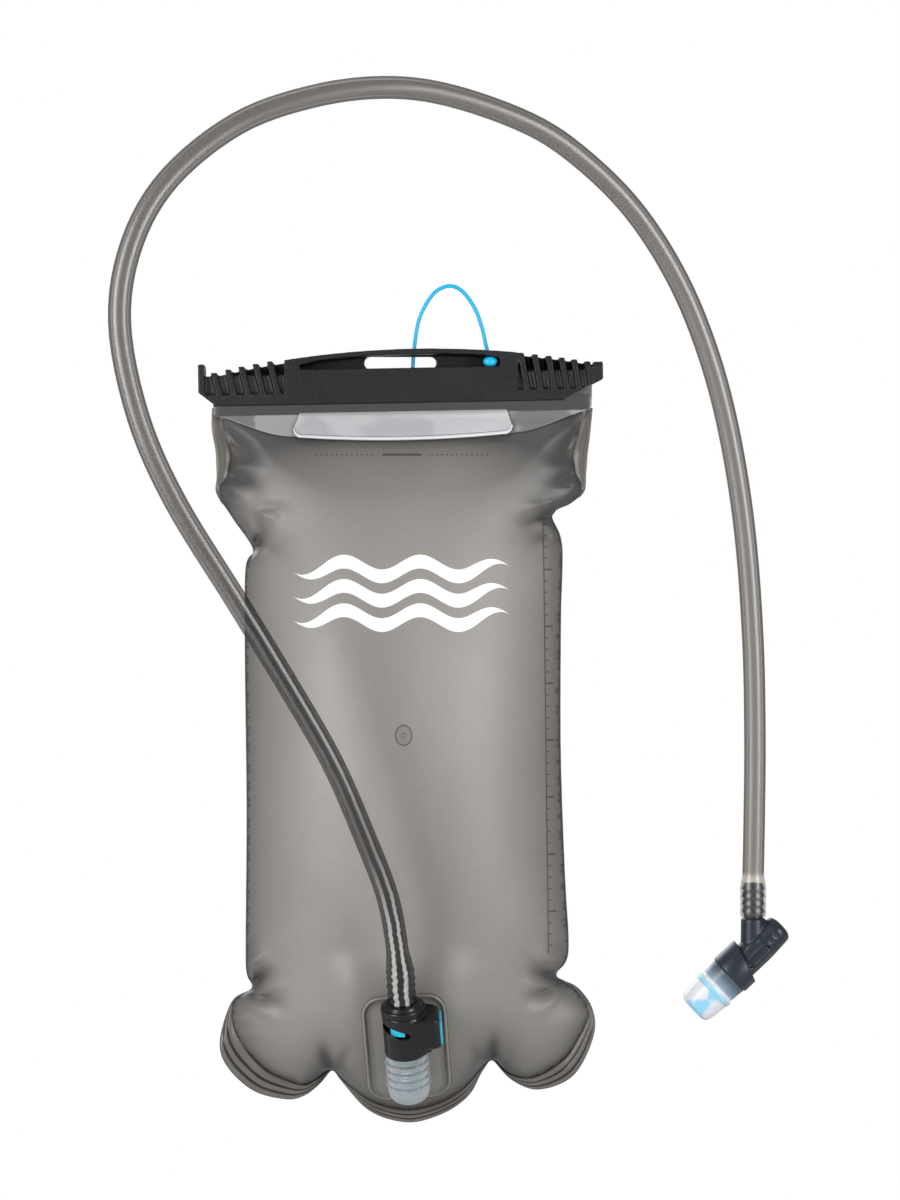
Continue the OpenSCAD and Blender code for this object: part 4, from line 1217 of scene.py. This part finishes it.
def receiver_cup():
    """The clear socket below the housing: a ribbed cup with a domed end."""
    ribs = np.array((-23.4, -27, -30.6, -34.2))
    rim = (7.6, -15)
    side = [
        (9.05 + 0.1 * smooth((-20 - z) / 8) + (0.5 * np.exp(-(((z - ribs) / 0.75) ** 2))).sum(), z)
        for z in np.arange(-17, -36.4, -0.3)
    ]
    dome = [(9.1, -36.6), (8.9, -38.4), (8.1, -40.4), (6.6, -41.9), (4.4, -42.8), (2, -43.1), (0.05, -43.2)]
    inner = [
        (0.05, -42.2), (3.6, -41.9), (6.2, -40.6), (7.3, -38.6), (7.75, -36), (7.8, -20), (7.0, -17),
        (7.0, -15),
    ]
    cup = mesh_object("receiver_cup", *revolve([rim, *side, *spline(dome, 5), *inner, rim], 72))
    own = positions(cup)
    # painted shade in the groove beside each rib, on the outside only
    groove_shade = sum(np.exp(-(((own[:, 2] - rib - 0.95) / 0.32) ** 2)) for rib in ribs)
    paint(cup, "painted_shade_and_outline", np.clip(groove_shade * (np.hypot(own[:, 0], own[:, 1]) > 8.6), 0, 1))
    cup.data.transform(PORT)
    finish(cup, "reservoir", FROSTED, "port_receiver")


receiver_cup()


def patch_plate():
    """Rounded oval of heavier film welded round the port, on the front film, with a bead along its edge."""
    profile = [(0, 0.35), (0.15, 0.6), (0.5, 1.1), (1.0, 1.35), (1.5, 1.1), (1.9, 0.55)]
    profile += [(inset, 0.4) for inset in (2.6, 5, 9, 13, 17)]
    points, dark = [], []
    for inset, lift in profile:
        ring = rounded(-18.6 + inset, -49 + inset, 18.6 - inset, 2.6 - inset, max(9 - inset, 0.5), 10)
        for x, z in ring:
            at = from_frame(np.array((x, PATCH_FACE, z)), PORT)
            at[1] = film_depth(at[0], at[2], at[1]) - lift
            points.append(at)
            # painted shade growing towards the bottom of the patch, and dark lines along its edge and inside
            # its bead
            shaded = 0.02 + 0.35 * smooth((-34 - z) / 14)
            dark.append(0.8 if inset < 0.3 else 0.55 if 1.7 < inset < 2.8 else shaded)
    count = len(ring)
    faces = grid_faces(len(profile), count, 0, True)
    last = (len(profile) - 1) * count
    faces.append(tuple(range(last, last + count)))
    plate = mesh_object("patch_plate", points, faces)
    paint(plate, "painted_shade_and_outline", dark)
    finish(bake(thicken(plate, 0.25, -1)), "reservoir", PATCH, "port_patch")


patch_plate()


# ---- The tether --------------------------------------------------------------------------------

CORD = [
    (39.2, -7.1, 166.7), (39.2, -5.4, 166.7), (39.15, -3.8, 166.75), (38.95, -2.4, 167.8),
    (38.5, -1.8, 170), (37.2, -1.8, 175), (35.4, -1.9, 183), (32, -2.2, 192), (26.4, -2.6, 199.4),
    (20.7, -2.8, 201.6), (14.5, -2.6, 198.9), (9.6, -2.2, 192), (6.6, -1.9, 184), (4.8, -1.9, 170),
    (4.4, -1.9, 158), (4.4, -2, 149.8),
]
cord_path = even(spline(CORD, 8), 0.7)
cord_run = lengths(cord_path)
# braided cord: a fine swell along it
cord_radii = 0.88 + 0.04 * np.sin(cord_run * 2 * math.pi / 1.7)
cord = mesh_object("braided_cord", *tube(cord_path, cord_radii, 16))
cord.data.materials.append(CORD_BLUE)
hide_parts("tether_cord")
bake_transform(cord)


# ---- The hose ----------------------------------------------------------------------------------

PORT_UP = np.array(PORT)[:3, 2]
HOSE = [
    *(PORT_AT + PORT_UP * z for z in (5.2, 12, 22)), (-4.9, -70, -65.3), (-15.9, -78, -35.1),
    (-28.6, -85, -5.3), (-47, -92, 27.5), (-67.4, -98, 61.6), (-92, -105, 102.3), (-106.8, -109, 137),
    (-114.1, -111, 175.4), (-109.1, -110, 207.8), (-94, -107, 234.9), (-66.9, -102, 257.8),
    (-36.8, -97, 269.8), (-6.8, -90, 275), (21.1, -81, 273.2), (55, -69, 263.1), (78.1, -60, 249.2),
    (100.6, -51, 228.2), (119.7, -43, 199.9), (133.6, -37, 167.6), (143.3, -31, 132.7), (150.3, -26, 90.9),
    (154.2, -22, 43.6), (155.4, -19, -0.5), (155.2, -17, -39.8), (154.9, -16, -60), (154.9, -16, -70),
    (154.9, -16, -78.1),
]
HOSE_R, BORE_R, HOSE_SIDES = 4.75, 3.2, 48


def along_hose(path):
    """Outer and inner radii along the hose, stretched over the barbed stems at its ends."""
    run = lengths(path)
    from_valve = run[-1] - run
    gripped = 1 - smooth((from_valve - 13) / 6)
    swell = 1.15 * np.maximum(1 - smooth((run - 14) / 12), gripped)
    barbs = 0.28 * np.cos((run - 3.8) * 2 * math.pi / 3.5) * (1 - smooth((run - 15) / 3))
    barbs += 0.16 * np.cos((from_valve - 2) * 2 * math.pi / 3.4) * (1 - smooth((from_valve - 12) / 3))
    return HOSE_R + (swell - 0.25 * gripped) + barbs, BORE_R + (swell + 0.6 * gripped) + barbs * 0.8


def drink_hose():
    """The hose, with what its material reads: wall, side, front, way from the port and grip at the valve."""
    path = even(spline(HOSE, 6), 1.0)
    run = lengths(path)
    outer, inner = along_hose(path)
    hose = mesh_object("smoke_hose", *tube(path, outer, HOSE_SIDES, inner))
    rings = np.tile(np.repeat(np.arange(len(path)), HOSE_SIDES), 2)
    off = positions(hose) - path[rings]
    off /= np.linalg.norm(off, axis=1)[:, None]
    level = np.cross(np.gradient(path, axis=0), (0, 1, 0))
    level /= np.linalg.norm(level, axis=1)[:, None]
    level *= np.where(level[:, :1] < 0, -1, 1)
    paint(hose, "inner", np.arange(len(rings)) >= len(path) * HOSE_SIDES)
    paint(hose, "side", (off * level[rings]).sum(axis=1))
    paint(hose, "front", -off[:, 1])
    paint(hose, "reach", run[rings])
    paint(hose, "grip", 1 - smooth((run[-1] - run[rings] - 17) / 3))
    finish(hose, "hose", HOSE_SMOKE, "drink_hose")


drink_hose()


# ---- The bite valve ----------------------------------------------------------------------------

BARREL = [
    (0, -17.5), (2.5, -17.4), (4.6, -16.9), (5.9, -15.9), (6.4, -14.6), (6.7, -11), (7.15, -4), (7.15, 5),
    (7.15, 12.8), (0, 12.8),
]
BRANCH_UP = np.array((0.724, 0, -0.69))


def valve_shell():
    """Barrel and branch in one moulding, with a slot and a small ring pressed into the barrel's front."""
    barrel = revolve([*spline(BARREL[:-1], 4), BARREL[-1]], 64)
    branch = tube([BRANCH_UP * reach for reach in (0, 5, 10, 14.7)], [5.55, 5.5, 5.45, 5.4], 48)
    saddle_path = [(3.4, -5.2, 4.6), (3.4, -6.1, 0), (3.4, -5.9, -4.5), (3.4, -4.6, -9)]
    shell = joined("valve_shell", [barrel, branch, tube(saddle_path, [0.9, 1, 1, 0.9], 16)], 0.34, 3)
    p = positions(shell)
    radius = np.hypot(p[:, 0], p[:, 1])
    front = smooth((-p[:, 1] - 2.5) / 2) * smooth((7.7 - radius) / 0.4)
    slot = stadium(p[:, 0] + 2.1, p[:, 2] + 0.6, 6.6, 1.7)
    sunk = smooth((0.1 - slot) / 0.7)
    rim = 0.42 * np.exp(-(((slot - 0.65) / 0.5) ** 2))
    ring = 0.22 * np.exp(-(((np.hypot(p[:, 0] + 0.6, p[:, 2] + 12.6) - 1.7) / 0.35) ** 2))
    outward = p * (1, 1, 0) / (radius[:, None] + 1e-6)
    place(shell, p + outward * (front * (rim - sunk + ring))[:, None])
    cut(shell, *revolve([(0, -15.2), (5.05, -15.2), (5.05, 14), (0, 14)], 48))
    shell.data.transform(VALVE)
    finish(shell, "valve", VALVE_BLACK, "valve_body", "valve_end_cap")


valve_shell()

STEM = [
    (2.3, 12), (5.3, 12), (5.35, 14.7), (5.0, 15.2), (4.2, 15.4), (4.2, 17.2), (4.9, 18.1), (4.2, 20.6),
    (4.9, 21.5), (4.2, 24), (4.9, 24.9), (4.2, 27.4), (4.9, 28.3), (4.0, 30.6), (2.3, 30.6), (2.3, 12),
]
stem = mesh_object("valve_stem", *revolve(STEM, 48), VALVE_AT)
finish(bake(round_edges(stem, 0.12)), "valve", VALVE_BLACK, "valve_body")


def twist_collar():
    """A ring round the barrel whose upper end is cut at a slant."""
    profile = [
        (7.2, 13.2), (7.2, 0), (9.35, 0), (9.65, 0.12), (9.8, 0.4), (9.8, 12.6), (9.8, 13.9), (9.65, 14.3),
        (9.35, 14.5), (6.6, 14.5), (6.6, 13.2), (7.2, 13.2),
    ]
    points, faces = revolve(profile, 96)
    points = [(x, y, z + 5.2 - 2.7 * x / math.hypot(x, y) if z < 3 else z) for x, y, z in points]
    collar = mesh_object("twist_collar", points, faces, VALVE)
    finish(bake(round_edges(collar, 0.2)), "shutoff_collar", VALVE_BLACK, "shutoff_collar")


twist_collar()

LIP = [
    (6.5, 30), (6.5, 14.6), (8.95, 14.6), (9.0, 16), (8.8, 19), (8.6, 21.6), (8.7, 22.3), (9.1, 22.8),
    (9.3, 23.4), (9.3, 24.2), (9.05, 24.9), (8.8, 25.6), (8.65, 28), (8.4, 31), (8.0, 33.4), (7.5, 35.1),
    (6.7, 36), (5.4, 36.5),
]


def mouthpiece():
    """Soft bite valve: a waisted cup with a bite slit pressed into its end."""
    end = [(r, 36.5 + 0.1 * (5.4 - r) / 5.4) for r in np.arange(5, 0.3, -0.4)]
    inner = [(0.05, 36.6), (0.05, 34.4), (4.5, 34.2), (6.2, 33), (6.5, 30)]
    rows = [tuple(row) for row in (*spline(LIP, 3), *end, *inner)]
    mouth = mesh_object("mouthpiece", *revolve(rows, 96))
    p = positions(mouth)
    across = smooth((5.2 - abs(p[:, 0])) / 0.8) * smooth((p[:, 2] - 35.5) / 0.5)
    p[:, 2] -= 1.3 * np.exp(-((p[:, 1] / 0.4) ** 2)) * across
    place(mouth, p)
    paint(mouth, "reach", p[:, 2])
    paint(mouth, "side", p[:, 0])
    mouth.data.transform(VALVE)
    finish(mouth, "shutoff_collar", SILICONE, "bite_valve")


mouthpiece()


# ---- Stage -------------------------------------------------------------------------------------


def softbox(name, at, target, size, power):
    """A soft area light aimed at a target; places are in millimetres."""
    data = bpy.data.lights.new(name, "AREA")
    data.shape = "RECTANGLE"
    data.size, data.size_y = size[0] * MM, size[1] * MM
    data.energy = power
    light = bpy.data.objects.new(name, data)
    aim = Vector(target) - Vector(at)
    turn = aim.to_track_quat("-Z", "Y").to_matrix().to_4x4()
    light.matrix_world = Matrix.Translation(Vector(at) * MM) @ turn
    bpy.context.scene.collection.objects.link(light)


def plainly_seen(g):
    """1 for rays from the camera or through clear parts, which see plain white."""
    path = g.node("LightPath").outputs
    return g.most(path["Is Camera Ray"], path["Is Transmission Ray"])


def studio_world():
    """White where it is plainly seen, and a soft grey for the rest."""
    g = Graph("studio", "World")
    grey, white = (g.node("Background", Color=tone) for tone in ((0.27, 0.275, 0.285), (1, 1, 1)))
    return g.close(g.mix_shader(plainly_seen(g), grey, white))


def floor_material():
    """Pale seamless sweep: white where it is plainly seen, a dim diffuse surface to the rest."""
    g = Graph("floor")
    tone = g.mix(g.noise(3, 2), (0.48, 0.48, 0.48), (0.52, 0.52, 0.52))
    dim = g.principled(Base_Color=tone, Roughness=0.9, Emission_Color=(1, 1, 1), Emission_Strength=0.16)
    return g.close(g.mix_shader(plainly_seen(g), dim, g.node("Emission", Color=(1, 1, 1), Strength=1.0)))


bpy.ops.mesh.primitive_plane_add(size=8, location=(0, 1.5, -0.215))
floor = bpy.context.object
floor.name = "floor"
floor.data.materials.append(floor_material())
bpy.context.scene.world = studio_world()
softbox("key", (-850, -900, 250), (0, -30, 0), (450, 950), 15.5)
softbox("fill", (900, -900, 60), (20, -30, 0), (330, 950), 15)
softbox("top", (0, -100, 1200), (0, -30, 60), (900, 400), 2)
softbox("back", (-300, 900, 500), (0, 0, 30), (900, 900), 9)

camera = bpy.data.objects.new("camera", bpy.data.cameras.new("camera"))
camera.location = (0.02112, -1.320, 0.0616)
camera.rotation_euler = (math.pi / 2, 0, 0)
camera.data.lens = 88.64
camera.data.clip_start = 0.05
bpy.context.scene.collection.objects.link(camera)
bpy.context.scene.camera = camera
bpy.context.scene.view_settings.view_transform = "Standard"

bpy.context.view_layer.update()
